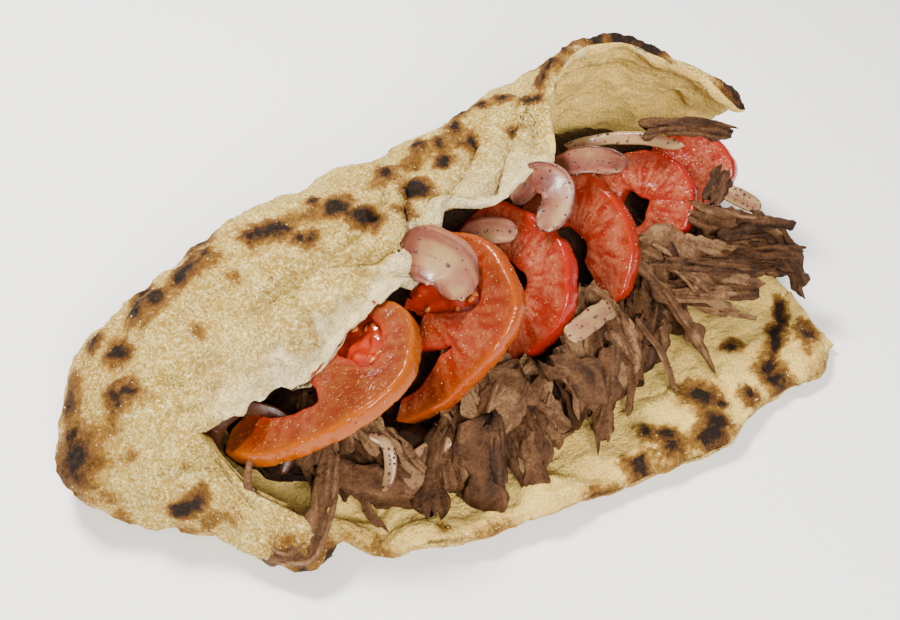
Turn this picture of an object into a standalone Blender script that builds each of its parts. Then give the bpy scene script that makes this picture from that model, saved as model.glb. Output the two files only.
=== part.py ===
"""Doner kebab sandwich: one oval flatbread folded into a pocket round shaved meat, tomato and onion.

Frame: +X runs along the sandwich from its closed end to its open end, -Y is the side that
the pocket's mouth faces, +Z is up, and the bread lies on Z = 0. Lengths here are in
millimetres, and objects are made in metres. Each food piece is one closed solid.
"""

import math
import random

import bpy
import numpy as np

MM = 0.001
GAP = 0.5  # clear space that keeps neighbouring solids apart
CENTRE_SHIFT = (-5.83, 7.52)  # moves the finished sandwich onto the middle of its own box


# ---------------------------------------------------------------- helpers


def hermite(at, value, tangent):
    """Reads the smooth curve with these values and slopes, held flat beyond both ends."""

    def read(x):
        x = min(max(x, at[0]), at[-1])
        i = min(int(np.searchsorted(at, x, side="right")) - 1, len(at) - 2)
        step = at[i + 1] - at[i]
        u = (x - at[i]) / step
        return float(
            (2 * u**3 - 3 * u**2 + 1) * value[i]
            + (u**3 - 2 * u**2 + u) * step * tangent[i]
            + (3 * u**2 - 2 * u**3) * value[i + 1]
            + (u**3 - u**2) * step * tangent[i + 1]
        )

    return read


def curve(*keys):
    """A design curve through (position, value) keys that never overshoots them."""
    at = np.array([k[0] for k in keys], float)
    value = np.array([k[1] for k in keys], float)
    slope = np.diff(value) / np.diff(at)
    before, after = slope[:-1], slope[1:]
    agree = before * after > 0
    total = np.where(agree, before + after, 1.0)
    inner = np.where(agree, 2 * before * after / total, 0.0)
    return hermite(at, value, np.concatenate([slope[:1], inner, slope[-1:]]))


def rounded_line(at, value):
    """A line through the values that turns as roundly as it can."""
    step = np.diff(at)
    slope = np.diff(value) / step
    inner = (slope[:-1] * step[1:] + slope[1:] * step[:-1]) / (step[1:] + step[:-1])
    return hermite(at, value, np.concatenate([slope[:1], inner, slope[-1:]]))


def through(points, count):
    """count points spaced along a smooth line through the given points, by root chord length."""
    points = np.array(points, float)
    chord = np.sqrt(np.linalg.norm(np.diff(points, axis=0), axis=1) + 1e-6)
    along = np.concatenate([[0.0], np.cumsum(chord)])
    axes = [rounded_line(along, points[:, k]) for k in range(points.shape[1])]
    return np.array([[axis(s) for axis in axes] for s in np.linspace(0, along[-1], count)])


def smooth_step(low, high, x):
    u = min(max((x - low) / (high - low), 0.0), 1.0)
    return u * u * (3 - 2 * u)


def unit(vectors):
    length = np.linalg.norm(vectors, axis=-1, keepdims=True)
    return vectors / np.maximum(length, 1e-9)


def material(name, colour, roughness):
    made = bpy.data.materials.new(name)
    made.use_nodes = True
    shader = made.node_tree.nodes["Principled BSDF"]
    shader.inputs["Base Color"].default_value = (*colour, 1.0)
    shader.inputs["Roughness"].default_value = roughness
    shader.inputs["Metallic"].default_value = 0.0
    return made


def add_object(name, points, faces, look):
    """A mesh object from points in millimetres, moved onto the frame's centre, all in triangles."""
    shift = np.array([*CENTRE_SHIFT, 0.0])
    triangles = [(f[0], f[k], f[k + 1]) for f in faces for k in range(1, len(f) - 1)]
    mesh = bpy.data.meshes.new(name)
    mesh.from_pydata(((np.array(points) + shift) * MM).tolist(), [], triangles)
    mesh.validate()
    mesh.shade_smooth()
    mesh.materials.append(look)
    made = bpy.data.objects.new(name, mesh)
    bpy.context.scene.collection.objects.link(made)
    return made


# ---------------------------------------------------------------- bread

BREAD_FROM, BREAD_TO = -119.5, 118.0  # the closed tip and the open end
TIP_ROUND = 20.0  # length over which the closed end rounds off
TIP_MIDDLE = (5.0, 11.0)  # y and z that the closed end shrinks to
FLOOR = 2.8  # height of the sheet's middle where the bread lies flat
MOUTH_FROM = -86.0  # where the two lips part
HOLLOW_FROM = -104.0  # the pocket is solid bread up to here

FRONT_Y = curve(
    (-120, -10), (-112, -12), (-103, -16.5), (-92, -25.5), (-84, -33), (-76, -42), (-67, -48), (-46, -58), (-20, -66),
    (-1, -68), (30, -71.5), (52, -72.5), (70, -68), (84, -65), (104, -65), (117, -58)
)
LOWER_LIP_Z = curve((-117, 16), (-99, 22), (-86, 33), (-81, 22), (-77, 10), (-71, 5), (-60, 4), (117, 4))
LOWER_LIP_INSET = curve((-117, 4), (-99, 7), (-86, 20), (-81, 12), (-77, 4), (-71, 0), (117, 0))
BACK_Y = curve((-117, 38), (-99, 42), (-67, 50), (-17, 55), (60, 56), (85, 55), (100, 49), (117, 37))
RIDGE_Y = curve(
    (-117, 26), (-99, 29), (-67, 34), (-17, 38), (20, 42), (40, 46), (58, 52), (78, 50), (100, 41), (117, 27)
)
RIDGE_Z = curve((-117, 29), (-99, 35), (-67, 50), (-17, 57), (20, 59), (58, 61), (78, 60), (100, 52), (117, 43))
UPPER_LIP_Y = curve(
    (-85, -13), (-67, -9), (-46, -6), (-17, -4), (0, 8), (20, 8), (38, 13), (52, 38), (66, 40), (86, 36), (102, 25), (117, 9)
)
UPPER_LIP_Z = curve(
    (-85, 33), (-67, 34), (-46, 40), (-17, 47), (0, 51), (20, 58), (38, 63), (50, 67), (66, 75), (80, 77), (96, 72), (117, 57)
)
CROWN = curve((-117, 4), (-17, 5), (38, 3), (58, 1), (117, 2))  # how far the flap domes between ridge and lip

THICKNESS = 5.6
LIP_THICKNESS = 3.2  # the torn upper layer is thin
LOBE_AT, LOBE_REACH, LOBE_WIDTH = -73.0, 8.0, 7.5  # the torn lobe on the front rim
END_FLARE = 13.0  # how far the fold reaches past the flap at the open end
ACROSS_STEPS = 19
TIP_STEPS = 7
STATION_STEP = curve((-105, 4), (-66, 5), (-50, 9), (25, 9), (36, 5), (58, 5), (72, 9), (118, 8))


def lobe(x):
    return LOBE_REACH * math.exp(-(((x - LOBE_AT) / LOBE_WIDTH) ** 2))


def bread_section(x, count):
    """The sheet's middle line at x, from the lower lip round the back fold to the upper lip."""
    front = FRONT_Y(x) - lobe(x)
    back, ridge_y, ridge_z = BACK_Y(x), RIDGE_Y(x), RIDGE_Z(x)
    low = np.array([front + LOWER_LIP_INSET(x), LOWER_LIP_Z(x)])
    high = low if x <= MOUTH_FROM else np.array([UPPER_LIP_Y(x), UPPER_LIP_Z(x)])
    wall = min(max((low[1] - 4) / 20, 0), 1)  # 1 where the front rises as a wall, 0 where it lies flat
    ridge = np.array([ridge_y, ridge_z])
    points = [
        low,
        (front + 12 * (1 - wall), FLOOR + 0.25 * (low[1] - 4)),
        (front + (0.35 - 0.12 * wall) * (back - front), FLOOR),
        (back - 0.39 * ridge_z, FLOOR),
        (back, 0.42 * ridge_z),
        (back - 0.05 * ridge_z, 0.75 * ridge_z),
        ridge,
        (ridge + high) / 2 + (0, CROWN(x)),
        high,
    ]
    line = through(points, count)
    line[:, 1] = np.maximum(line[:, 1], FLOOR)
    taper = math.sqrt(max(1 - max((BREAD_FROM + TIP_ROUND - x) / TIP_ROUND, 0) ** 2, 0))
    middle = np.array(TIP_MIDDLE)
    return middle + (line - middle) * max(taper, 0.06)


def end_reach(x, across):
    """X of the sheet at station x: the fold reaches past both lips at the open end."""
    bulge = np.sin(np.pi * np.clip((across - 0.3) / 0.7, 0, 1)) * END_FLARE
    tuck = -4 * np.clip((0.3 - across) / 0.3, 0, 1) + 2 * across
    return x + smooth_step(60, BREAD_TO, x) * (bulge + tuck)


def bread_middle(x_steps, count):
    """Grid of points on the sheet's middle surface, [station][across]."""
    grid = np.zeros((len(x_steps), count, 3))
    for i, x in enumerate(x_steps):
        grid[i, :, 0] = end_reach(x, np.linspace(0, 1, count))
        grid[i, :, 1:] = bread_section(x, count)
    return grid


def length_stations():
    """Stations along X, closest together where the tip rounds off and where the lips turn."""
    turn = np.linspace(0, math.pi / 2, TIP_STEPS)
    stations = list(BREAD_FROM + TIP_ROUND * (1 - np.cos(turn)))
    while stations[-1] + 1.5 * STATION_STEP(stations[-1]) < BREAD_TO:
        stations.append(stations[-1] + STATION_STEP(stations[-1]))
    return np.array(stations + [BREAD_TO])


def sheet_normals(grid, closed_until):
    """Outward unit normals of a bread grid. Stations before closed_until are closed loops."""
    along = np.gradient(grid, axis=0)
    across = np.gradient(grid, axis=1)
    loops = grid[:closed_until]
    wrapped = loops[:, 1] - loops[:, -2]
    across[:closed_until, 0] = wrapped
    across[:closed_until, -1] = wrapped
    return unit(np.cross(across, along))


def sheet_thickness(count, closed):
    """Thickness across the sheet, thinner at the torn upper lip of an open station."""
    across = np.linspace(0, 1, count)
    thin = np.clip((across - 0.72) / 0.28, 0, 1) ** 2
    return THICKNESS - (0 if closed else 1) * (THICKNESS - LIP_THICKNESS) * thin


def bread_shell(grow, across_steps=ACROSS_STEPS):
    """Points and faces of the closed bread: outer skin, inner skin and rounded rims."""
    xs = length_stations()
    length_steps = len(xs)
    mouth = int(np.searchsorted(xs, MOUTH_FROM, side="right"))
    hollow = int(np.searchsorted(xs, HOLLOW_FROM))
    grid = bread_middle(xs, across_steps)
    normal = sheet_normals(grid, mouth)
    last = across_steps - 1
    points, faces, index = [], [], {}

    def key(skin, i, j):
        return (skin, i, 0 if i < mouth and j == last else j)

    def put(skin, i, j, point):
        index[key(skin, i, j)] = len(points)
        points.append(point)

    for i in range(length_steps):
        half = sheet_thickness(across_steps, i < mouth) / 2 + grow
        for j in range(last if i < mouth else across_steps):
            put("out", i, j, grid[i, j] + normal[i, j] * half[j])
            if i >= hollow:
                put("in", i, j, grid[i, j] - normal[i, j] * half[j])

    def rim_point(i, j, inward_i, inward_j):
        """A point that rounds the sheet's edge off, past its middle line."""
        half = sheet_thickness(across_steps, i < mouth)[j] / 2 + grow
        away = unit(grid[i, j] - grid[inward_i, inward_j])
        put("rim", i, j, grid[i, j] + away * 0.7 * half)

    end = length_steps - 1
    rim_point(mouth - 1, 0, mouth - 2, 0)
    for i in range(mouth, end):
        rim_point(i, 0, i, 1)
        rim_point(i, last, i, last - 1)
    for j in range(across_steps):
        rim_point(end, j, end - 1, j)

    def quad(a, b, c, d):
        faces.append([index[key(*p)] for p in (d, c, b, a)])

    for i in range(end):
        for j in range(last):
            quad(("out", i, j), ("out", i + 1, j), ("out", i + 1, j + 1), ("out", i, j + 1))
            if i >= hollow:
                quad(("in", i, j), ("in", i, j + 1), ("in", i + 1, j + 1), ("in", i + 1, j))
    for i in range(mouth - 1, end):
        for a, b in (("out", "rim"), ("rim", "in")):
            quad((a, i, 0), (b, i, 0), (b, i + 1, 0), (a, i + 1, 0))
            quad((a, i, last), (a, i + 1, last), (b, i + 1, last), (b, i, last))
    for j in range(last):
        for a, b in (("out", "rim"), ("rim", "in")):
            quad((a, end, j), (b, end, j), (b, end, j + 1), (a, end, j + 1))
    faces.append([index[("out", 0, j)] for j in reversed(range(last))])
    faces.append([index[("in", hollow, j)] for j in range(last)])
    resting = [(x, y, max(z, -grow)) for x, y, z in points]
    return resting, faces


# ---------------------------------------------------------------- strips: meat and onion


def strip_frames(route, facing):
    """Unit vectors along, across and out of a strip at each route point."""
    along = unit(np.gradient(route, axis=0))
    out = np.array(facing, float) - along * (along @ np.array(facing, float))[:, None]
    out = unit(out)
    return along, unit(np.cross(out, along)), out


def strip(route, widths, thicknesses, facing, sides=6):
    """A closed band of rounded section swept along a route. facing points out of its flat side."""
    along, across, out = strip_frames(route, facing)
    angles = np.arange(sides) * 2 * math.pi / sides + math.pi / sides
    wide = np.sign(np.cos(angles)) * np.abs(np.cos(angles)) ** 0.6
    deep = np.sign(np.sin(angles)) * np.abs(np.sin(angles)) ** 0.6
    points = []
    for i in range(len(route)):
        section = np.outer(wide, across[i]) * widths[i] / 2 + np.outer(deep, out[i]) * thicknesses[i] / 2
        points.extend(route[i] + section)
    faces = [list(reversed(range(sides)))]
    for i in range(len(route) - 1):
        a, b = i * sides, (i + 1) * sides
        for k in range(sides):
            faces.append([a + k, a + (k + 1) % sides, b + (k + 1) % sides, b + k])
    faces.append([(len(route) - 1) * sides + k for k in range(sides)])
    return points, faces


def tapered(count, size, end_share, power=0.5):
    """Sizes along a strip that round off to end_share of size at both ends."""
    u = np.linspace(-1, 1, count)
    return size * (end_share + (1 - end_share) * (1 - np.abs(u) ** 4) ** power)


# ---------------------------------------------------------------- tomato slices

TOMATO_THICKNESS = 5.5
CAVITY_SHARE = 0.55  # thickness left where a seed cavity sinks in
WALL_SHARE = 0.30  # width of the outer wall as a share of the radius
CORE_SHARE = 0.26
SEPTA_STEP = 60.0  # degrees between the walls that part the seed cavities

# name: centre, radius, lean, turn, arc from and to, inner edge as a share of the radius
TOMATOES = {
    "tomato_slice_1": ((-49, -9, 35), 34, 31, -35, (-136, 84), 0.12),
    "tomato_slice_2": ((-12, -8, 38), 32, 48, 2, (-134, 74), 0.12),
    "tomato_slice_3": ((18, -5, 33), 27, 53, 0, (-122, 88), 0.34),
    "tomato_slice_4": ((47, -1, 35), 24, 58, 8, (-108, 92), 0.38),
    "tomato_slice_5": ((75, 3, 36), 19, 50, 15, (-120, 110), 0.42),
    "tomato_slice_6": ((98, 9, 33), 15.5, 50, 20, (-120, 100), 0.40),
}


def slice_frame(lean, turn):
    """Face normal, uphill and sideways unit vectors of a slice that leans back by lean degrees."""
    tip, swing = math.radians(lean), math.radians(turn)
    face = np.array([-math.sin(tip) * math.cos(swing), -math.sin(tip) * math.sin(swing), math.cos(tip)])
    uphill = np.array([math.cos(tip) * math.cos(swing), math.cos(tip) * math.sin(swing), math.sin(tip)])
    return face, uphill, np.cross(face, uphill)


def flesh_depth(share, angle, inner):
    """1 on solid flesh and CAVITY_SHARE in a seed cavity, at a share of the radius and an angle."""
    ring = 1 - smooth_step(1 - WALL_SHARE - 0.12, 1 - WALL_SHARE, share)
    core = smooth_step(CORE_SHARE, CORE_SHARE + 0.12, share)
    septum = smooth_step(0.18, 0.5, abs(math.sin(math.radians(angle * 180 / SEPTA_STEP))))
    return 1 - (1 - CAVITY_SHARE) * ring * core * septum * (0 if inner > 0.3 else 1)


def tomato_slice(size, grow):
    """A cut tomato slice: a plate bounded by its skin arc, with sunken seed cavities.
    A grown one is the plain plate that clears a place for it."""
    centre, radius, lean, turn, (start, stop), inner = size
    face, uphill, sideways = slice_frame(lean, turn)
    middle = np.array(centre, float)
    margin = math.degrees(1.5 * grow / radius)
    angle_steps = 10 if grow else 15
    angles = np.linspace(start - margin, stop + margin, angle_steps)
    shares = inner + (1 - inner) * np.array([0, 1] if grow else [0, 0.35, 0.6, 0.9, 1.0])
    flat_reach = 1 / math.cos(math.radians(angles[1] - angles[0]) / 2) if grow else 1.0
    points, faces = [], []
    for side in (1, -1):
        for angle in angles:
            spread = max(1 - abs(2 * (angle - start) / (stop - start) - 1) ** 5, 0)
            for share in shares:
                hook = share if inner < 0.3 else 1 - (1 - share) * (0.35 + 0.65 * spread)
                round_off = 0.75 if share > 0.99 and not grow else 1.0
                depth = 1.0 if grow else flesh_depth(share, angle, inner)
                half = (TOMATO_THICKNESS / 2 * depth) * round_off + grow
                reach = radius * hook * flat_reach + grow if share > 0.99 else radius * hook - 2 * grow
                a = math.radians(angle)
                flat = uphill * math.cos(a) + sideways * math.sin(a)
                points.append(middle + reach * flat + side * half * face)
    rows, columns = angle_steps, len(shares)

    def at(side, i, j):
        return (0 if side > 0 else rows * columns) + i * columns + j

    for i in range(rows - 1):
        for j in range(columns - 1):
            faces.append([at(1, i, j), at(1, i, j + 1), at(1, i + 1, j + 1), at(1, i + 1, j)])
            faces.append([at(-1, i, j), at(-1, i + 1, j), at(-1, i + 1, j + 1), at(-1, i, j + 1)])
        faces.append([at(1, i, 0), at(1, i + 1, 0), at(-1, i + 1, 0), at(-1, i, 0)])
        last = columns - 1
        faces.append([at(1, i, last), at(-1, i, last), at(-1, i + 1, last), at(1, i + 1, last)])
    for j in range(columns - 1):
        faces.append([at(1, 0, j), at(-1, 0, j), at(-1, 0, j + 1), at(1, 0, j + 1)])
        end = rows - 1
        faces.append([at(1, end, j), at(1, end, j + 1), at(-1, end, j + 1), at(-1, end, j)])
    return points, faces


# ---------------------------------------------------------------- onion and meat pieces

TOWARDS = (-0.35, -0.61, 0.71)  # the flat sides of the loose pieces look to the front and up

# name: route, width, thickness, facing
ONIONS = {
    "onion_wedge": (((-9, 6, 53), (-5, -4, 57), (-4, -13, 56)), 15, 3.2, TOWARDS),
    "onion_ring": (((29, 14, 54), (34, 9, 62), (37, 0, 64), (34, -6, 57)), 11, 2.6, (-0.7, -0.3, 0.6)),
    "onion_strip_1": (((50, 17, 54), (56, 6, 61), (61, -3, 64)), 5, 1.8, (-0.6, -0.2, 0.7)),
    "onion_strip_2": (((67, 28, 48), (76, 18, 54), (87, 2, 57)), 5, 1.8, (-0.5, -0.3, 0.7)),
    "onion_strip_3": (((13, 14, 42), (19, 8, 47), (25, 0, 49)), 9, 2.0, TOWARDS),
    "onion_strip_4": (((22, -33, 35), (31, -31, 34), (41, -28, 31)), 6, 2.2, TOWARDS),
    "onion_strip_5": (((-38, -34, 11), (-32, -36, 15), (-25, -38, 18)), 5, 2.0, TOWARDS),
    "onion_curl": (((-45, -31, 26), (-44, -36, 22), (-43, -41, 16)), 4, 1.8, TOWARDS),
    "onion_ring_edge": (((-80, -6, 20), (-76, -5, 25), (-69, -8, 28), (-66, -14, 25)), 6, 2.2, TOWARDS),
    "onion_end": (((102, -3, 37), (105, -11, 37), (108, -18, 36)), 6, 2.0, TOWARDS),
}

MEAT_STRIPS = {
    "meat_strip_1": (((55, -22, 38), (60, -31, 30), (65, -39, 20), (68, -47, 10)), 5, 3.4, TOWARDS),
    "meat_strip_2": (((-55, -31, 24), (-62, -36, 17), (-71, -42, 10.5), (-81, -40, 8.5)), 11, 3.6, TOWARDS),
    "meat_strip_3": (((-59, -31, 20), (-48, -39, 15), (-37, -46, 10)), 10, 3.6, TOWARDS),
    "meat_strip_4": (((-25, -38, 23), (-31, -43, 16), (-36, -52, 9)), 9, 4.0, TOWARDS),
    "meat_strip_5": (((-14, -43, 26), (-18, -50, 18), (-22, -58, 9)), 12, 4.0, TOWARDS),
    "meat_strip_6": (((1, -46, 22), (-2, -53, 16), (-6, -60, 9)), 8, 3.4, TOWARDS),
    "meat_strip_7": (((3, -37, 31), (-4, -40, 28), (-11, -44, 22)), 13, 4.5, TOWARDS),
    "meat_strip_8": (((13, -37, 33), (19, -44, 28), (20, -50, 19)), 12, 4.5, TOWARDS),
    "meat_strip_9": (((33, -40, 32), (26, -48, 24), (19, -57, 10)), 7, 4.0, TOWARDS),
    "meat_strip_10": (((60, -16, 41), (70, -22, 36), (76, -31, 28)), 11, 4.5, TOWARDS),
    "meat_strip_11": (((82, -13, 42), (95, -19, 36), (110, -25, 28)), 10, 4.5, TOWARDS),
    "meat_strip_12": (((74, -24, 31), (92, -27, 27), (112, -31, 19)), 9, 4.0, TOWARDS),
    "meat_strip_13": (((106, -19, 36), (112, -29, 26), (115, -39, 12)), 7, 3.6, TOWARDS),
    "meat_strip_14": (((78, 11, 60), (91, 4, 61), (104, -2, 58)), 6, 3.0, TOWARDS),
    "meat_strip_15": (((84, -18, 50), (93, -13, 53)), 7, 3.0, TOWARDS),
}


def loose_piece(size, grow, end_share, steps=6):
    route, width, thick, facing = size
    line = through(route, steps)
    reach = unit(line[-1] - line[-2]) * grow, unit(line[0] - line[1]) * grow
    line[-1], line[0] = line[-1] + reach[0], line[0] + reach[1]
    widths = tapered(steps, width, end_share) + 2 * grow
    thicks = tapered(steps, thick, min(end_share * 1.6, 0.8)) + 2 * grow
    return strip(line, widths, thicks, facing)


# ---------------------------------------------------------------- meat heap

HEAP_FROM, HEAP_TO = -80.0, 104.0
HEAP_FOOT_Y = curve((-80, -16), (-70, -25), (-46, -40), (-20, -54), (10, -52), (40, -44), (60, -34), (80, -25), (104, -23))
HEAP_TOP_Z = curve((-80, 18), (-60, 24), (-30, 34), (10, 40), (50, 44), (90, 40), (104, 34))
HEAP_TOP_Y = curve((-80, -4), (-60, -6), (-20, -16), (10, -18), (50, -14), (104, -10))
HEAP_CLEARANCE = 0.9  # between the heap and the bread that holds it
BACK_STEPS, FRONT_STEPS = 8, 8


def inner_skin(x, count=41):
    """The pocket's inner skin at x as rows of (x, y, z), from the lower lip round to the upper lip."""
    line = bread_section(x, count)
    along = unit(np.gradient(line, axis=0))
    inward = np.stack([-along[:, 1], along[:, 0]], axis=1)
    line = line + inward * (THICKNESS / 2 + HEAP_CLEARANCE)
    return np.column_stack([end_reach(x, np.linspace(0, 1, count)), line])


def heap_section(x, rng):
    """A closed loop of the heap at x: it follows the bread behind and bulges out at the front."""
    foot, top_y, top_z = HEAP_FOOT_Y(x), HEAP_TOP_Y(x), HEAP_TOP_Z(x)
    skin = inner_skin(x)
    lowest = int(np.argmax(skin[:, 1] > foot + 9))
    highest = len(skin) - 1
    while skin[highest, 1] < top_y + 16 or highest > 0.8 * len(skin):
        highest -= 1
    picks = np.linspace(lowest, highest, BACK_STEPS).round().astype(int)
    back = skin[picks]
    start, end = back[-1], back[0]
    base = end[2]
    front_yz = [
        (start[1] - 6, min(start[2] - 1, top_z + 4)),
        (top_y, top_z),
        (top_y - 9, top_z - 5),
        (foot + 5, base + 0.5 * (top_z - base)),
        (foot - 1.5, base + 0.26 * (top_z - base)),
        (foot + 1, base + 0.8),
    ]
    front = through(front_yz, FRONT_STEPS)
    rough = [(rng.uniform(-1, 1), rng.uniform(-1, 1)) for _ in front]
    front = front + np.array(rough) * np.linspace(1, 0, FRONT_STEPS)[:, None]
    front_x = np.linspace(start[0], end[0], FRONT_STEPS + 2)[1:-1]
    return np.concatenate([back, np.column_stack([front_x, front])])


def heap_body(steps=18):
    """The heap of shaved meat that fills the pocket, out to its uneven outline."""
    rng = random.Random(7)
    points, faces = [], []
    for x in np.linspace(HEAP_FROM, HEAP_TO, steps):
        near_end = min((x - HEAP_FROM) / 9, (HEAP_TO - x) / 9, 1)
        swell = 0.55 + 0.45 * math.sqrt(max(1 - (1 - near_end) ** 2, 0))
        loop = heap_section(x, rng)
        middle = loop.mean(axis=0)
        points.extend(middle + (loop - middle) * (1, swell, swell))
    sides = BACK_STEPS + FRONT_STEPS
    faces.append(list(reversed(range(sides))))
    for i in range(steps - 1):
        a, b = i * sides, (i + 1) * sides
        for k in range(sides):
            faces.append([a + k, a + (k + 1) % sides, b + (k + 1) % sides, b + k])
    faces.append([(steps - 1) * sides + k for k in range(sides)])
    return points, faces


# ---------------------------------------------------------------- assembly


def boxes_meet(one, other):
    a, b = np.array(one), np.array(other)
    return bool((a.min(axis=0) < b.max(axis=0)).all() and (b.min(axis=0) < a.max(axis=0)).all())


def cutter(name, shape, look):
    made = add_object(name, *shape, look)
    made.hide_render = True
    made.display_type = "WIRE"
    return made


def carve(body, shape, others):
    """Cuts every cutter whose box meets the body's own out of it."""
    for other, other_points in others:
        if not boxes_meet(shape[0], other_points):
            continue
        cut = body.modifiers.new(other.name, "BOOLEAN")
        cut.operation = "DIFFERENCE"
        cut.solver = "EXACT"
        cut.object = other


def keep_largest(body):
    """Applies the cuts and keeps only the largest piece that they leave."""
    graph = bpy.context.evaluated_depsgraph_get()
    cut = bpy.data.meshes.new_from_object(body.evaluated_get(graph))
    body.modifiers.clear()
    body.data = cut
    beside = {}
    for face in cut.polygons:
        for edge in face.edge_keys:
            beside.setdefault(edge, []).append(face.index)
    left, pieces = set(range(len(cut.polygons))), []
    while left:
        piece, queue = set(), [left.pop()]
        while queue:
            index = queue.pop()
            piece.add(index)
            for edge in cut.polygons[index].edge_keys:
                found = [other for other in beside[edge] if other in left]
                left.difference_update(found)
                queue.extend(found)
        pieces.append(piece)
    if len(pieces) == 1:
        return
    faces = [list(cut.polygons[i].vertices) for i in max(pieces, key=len)]
    used = sorted({v for face in faces for v in face})
    new_index = {v: i for i, v in enumerate(used)}
    points = [tuple(cut.vertices[v].co) for v in used]
    cleaned = bpy.data.meshes.new(body.name)
    cleaned.from_pydata(points, [], [[new_index[v] for v in face] for face in faces])
    cleaned.materials.append(body.active_material)
    body.data = cleaned


def build():
    for old in list(bpy.data.objects):
        bpy.data.objects.remove(old, do_unlink=True)
    bread_look = material("bread", (0.86, 0.76, 0.55), 0.8)
    tomato_look = material("tomato", (0.72, 0.10, 0.05), 0.3)
    onion_look = material("onion", (0.85, 0.72, 0.74), 0.35)
    meat_look = material("meat", (0.30, 0.18, 0.14), 0.6)

    shape = bread_shell(0)
    add_object("bread", *shape, bread_look)
    grown = bread_shell(GAP)
    cutters = [(cutter("cut_bread", grown, bread_look), grown[0])]

    def place(name, make, look):
        shape = make(0)
        body = add_object(name, *shape, look)
        carve(body, shape, cutters)
        keep_largest(body)
        grown = make(GAP)
        cutters.append((cutter("cut_" + name, grown, look), grown[0]))

    for name, size in TOMATOES.items():
        place(name, lambda grow: tomato_slice(size, grow), tomato_look)
    for name, size in ONIONS.items():
        place(name, lambda grow: loose_piece(size, grow, 0.45), onion_look)
    for name, size in MEAT_STRIPS.items():
        place(name, lambda grow: loose_piece(size, grow, 0.5), meat_look)
    place("meat_heap", lambda grow: heap_body(), meat_look)


build()
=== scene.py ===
"""Looks of the doner kebab sandwich: baked flatbread, shaved meat, wet tomato slices and red onion.

Lengths are in millimetres until a mesh is made, in the design's own axes. Each sub-part stays about
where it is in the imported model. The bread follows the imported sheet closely, at a finer grain, with
folds, a torn lip, blisters and char on it.
"""

import math
import random
from collections import namedtuple

import bpy
import numpy as np
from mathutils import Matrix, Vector


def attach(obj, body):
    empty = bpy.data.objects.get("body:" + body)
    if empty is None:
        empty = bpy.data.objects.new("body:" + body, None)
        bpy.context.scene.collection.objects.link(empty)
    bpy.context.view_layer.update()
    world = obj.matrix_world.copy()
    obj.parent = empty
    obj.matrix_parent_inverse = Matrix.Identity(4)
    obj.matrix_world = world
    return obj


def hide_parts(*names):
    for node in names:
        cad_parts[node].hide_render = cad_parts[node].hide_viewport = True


MM = 0.001
CENTRE_SHIFT = np.array([-5.83, 7.52, 0.0])  # from the design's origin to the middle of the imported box


# ---------------------------------------------------------------- noise


def lattice(cell, seed):
    """A repeatable value in -1..1 for each integer cell."""
    c = cell.astype(np.int64).astype(np.uint64)
    x, y, z = (c[..., k] * np.uint64(prime) for k, prime in enumerate((73856093, 19349663, 83492791)))
    h = (x ^ y ^ z ^ np.uint64(seed * 2654435761 % 2**32)) * np.uint64(0x9E3779B97F4A7C15)
    h ^= h >> np.uint64(29)
    h *= np.uint64(0xBF58476D1CE4E5B9)
    h ^= h >> np.uint64(32)
    return (h & np.uint64(0xFFFFFF)).astype(float) / 0x7FFFFF - 1.0


def noise(points, scale, seed=0):
    """Smooth value noise in -1..1 with features about scale wide."""
    p = np.asarray(points, float) / scale
    base = np.floor(p)
    u = p - base
    u = u * u * u * (u * (u * 6 - 15) + 10)
    total = 0.0
    for dx in (0, 1):
        for dy in (0, 1):
            for dz in (0, 1):
                weight = (
                    (u[..., 0] if dx else 1 - u[..., 0])
                    * (u[..., 1] if dy else 1 - u[..., 1])
                    * (u[..., 2] if dz else 1 - u[..., 2])
                )
                total = total + weight * lattice(base + (dx, dy, dz), seed)
    return total


def fractal(points, scale, octaves, seed=0, keep=0.5):
    """Noise with finer detail added, each octave half as wide and keep as strong."""
    total, size = 0.0, 1.0
    for k in range(octaves):
        total = total + size * noise(points, scale / 2**k, seed + 17 * k)
        size *= keep
    return total


# ---------------------------------------------------------------- curves


def hermite(at, value, tangent):
    """Reads the smooth curve with these values and slopes, held flat beyond both ends."""

    def read(x):
        x = np.clip(x, at[0], at[-1])
        i = np.clip(np.searchsorted(at, x, side="right") - 1, 0, len(at) - 2)
        step = at[i + 1] - at[i]
        u = (x - at[i]) / step
        return (
            (2 * u**3 - 3 * u**2 + 1) * value[i]
            + (u**3 - 2 * u**2 + u) * step * tangent[i]
            + (3 * u**2 - 2 * u**3) * value[i + 1]
            + (u**3 - u**2) * step * tangent[i + 1]
        )

    return read


def curve(*keys):
    """A design curve through (position, value) keys that never overshoots them."""
    at = np.array([k[0] for k in keys], float)
    value = np.array([k[1] for k in keys], float)
    slope = np.diff(value) / np.diff(at)
    before, after = slope[:-1], slope[1:]
    agree = before * after > 0
    total = np.where(agree, before + after, 1.0)
    inner = np.where(agree, 2 * before * after / total, 0.0)
    return hermite(at, value, np.concatenate([slope[:1], inner, slope[-1:]]))


def rounded_line(at, value):
    """A line through the values that turns as roundly as it can."""
    step = np.diff(at)
    slope = np.diff(value) / step
    inner = (slope[:-1] * step[1:] + slope[1:] * step[:-1]) / (step[1:] + step[:-1])
    return hermite(at, value, np.concatenate([slope[:1], inner, slope[-1:]]))


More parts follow.
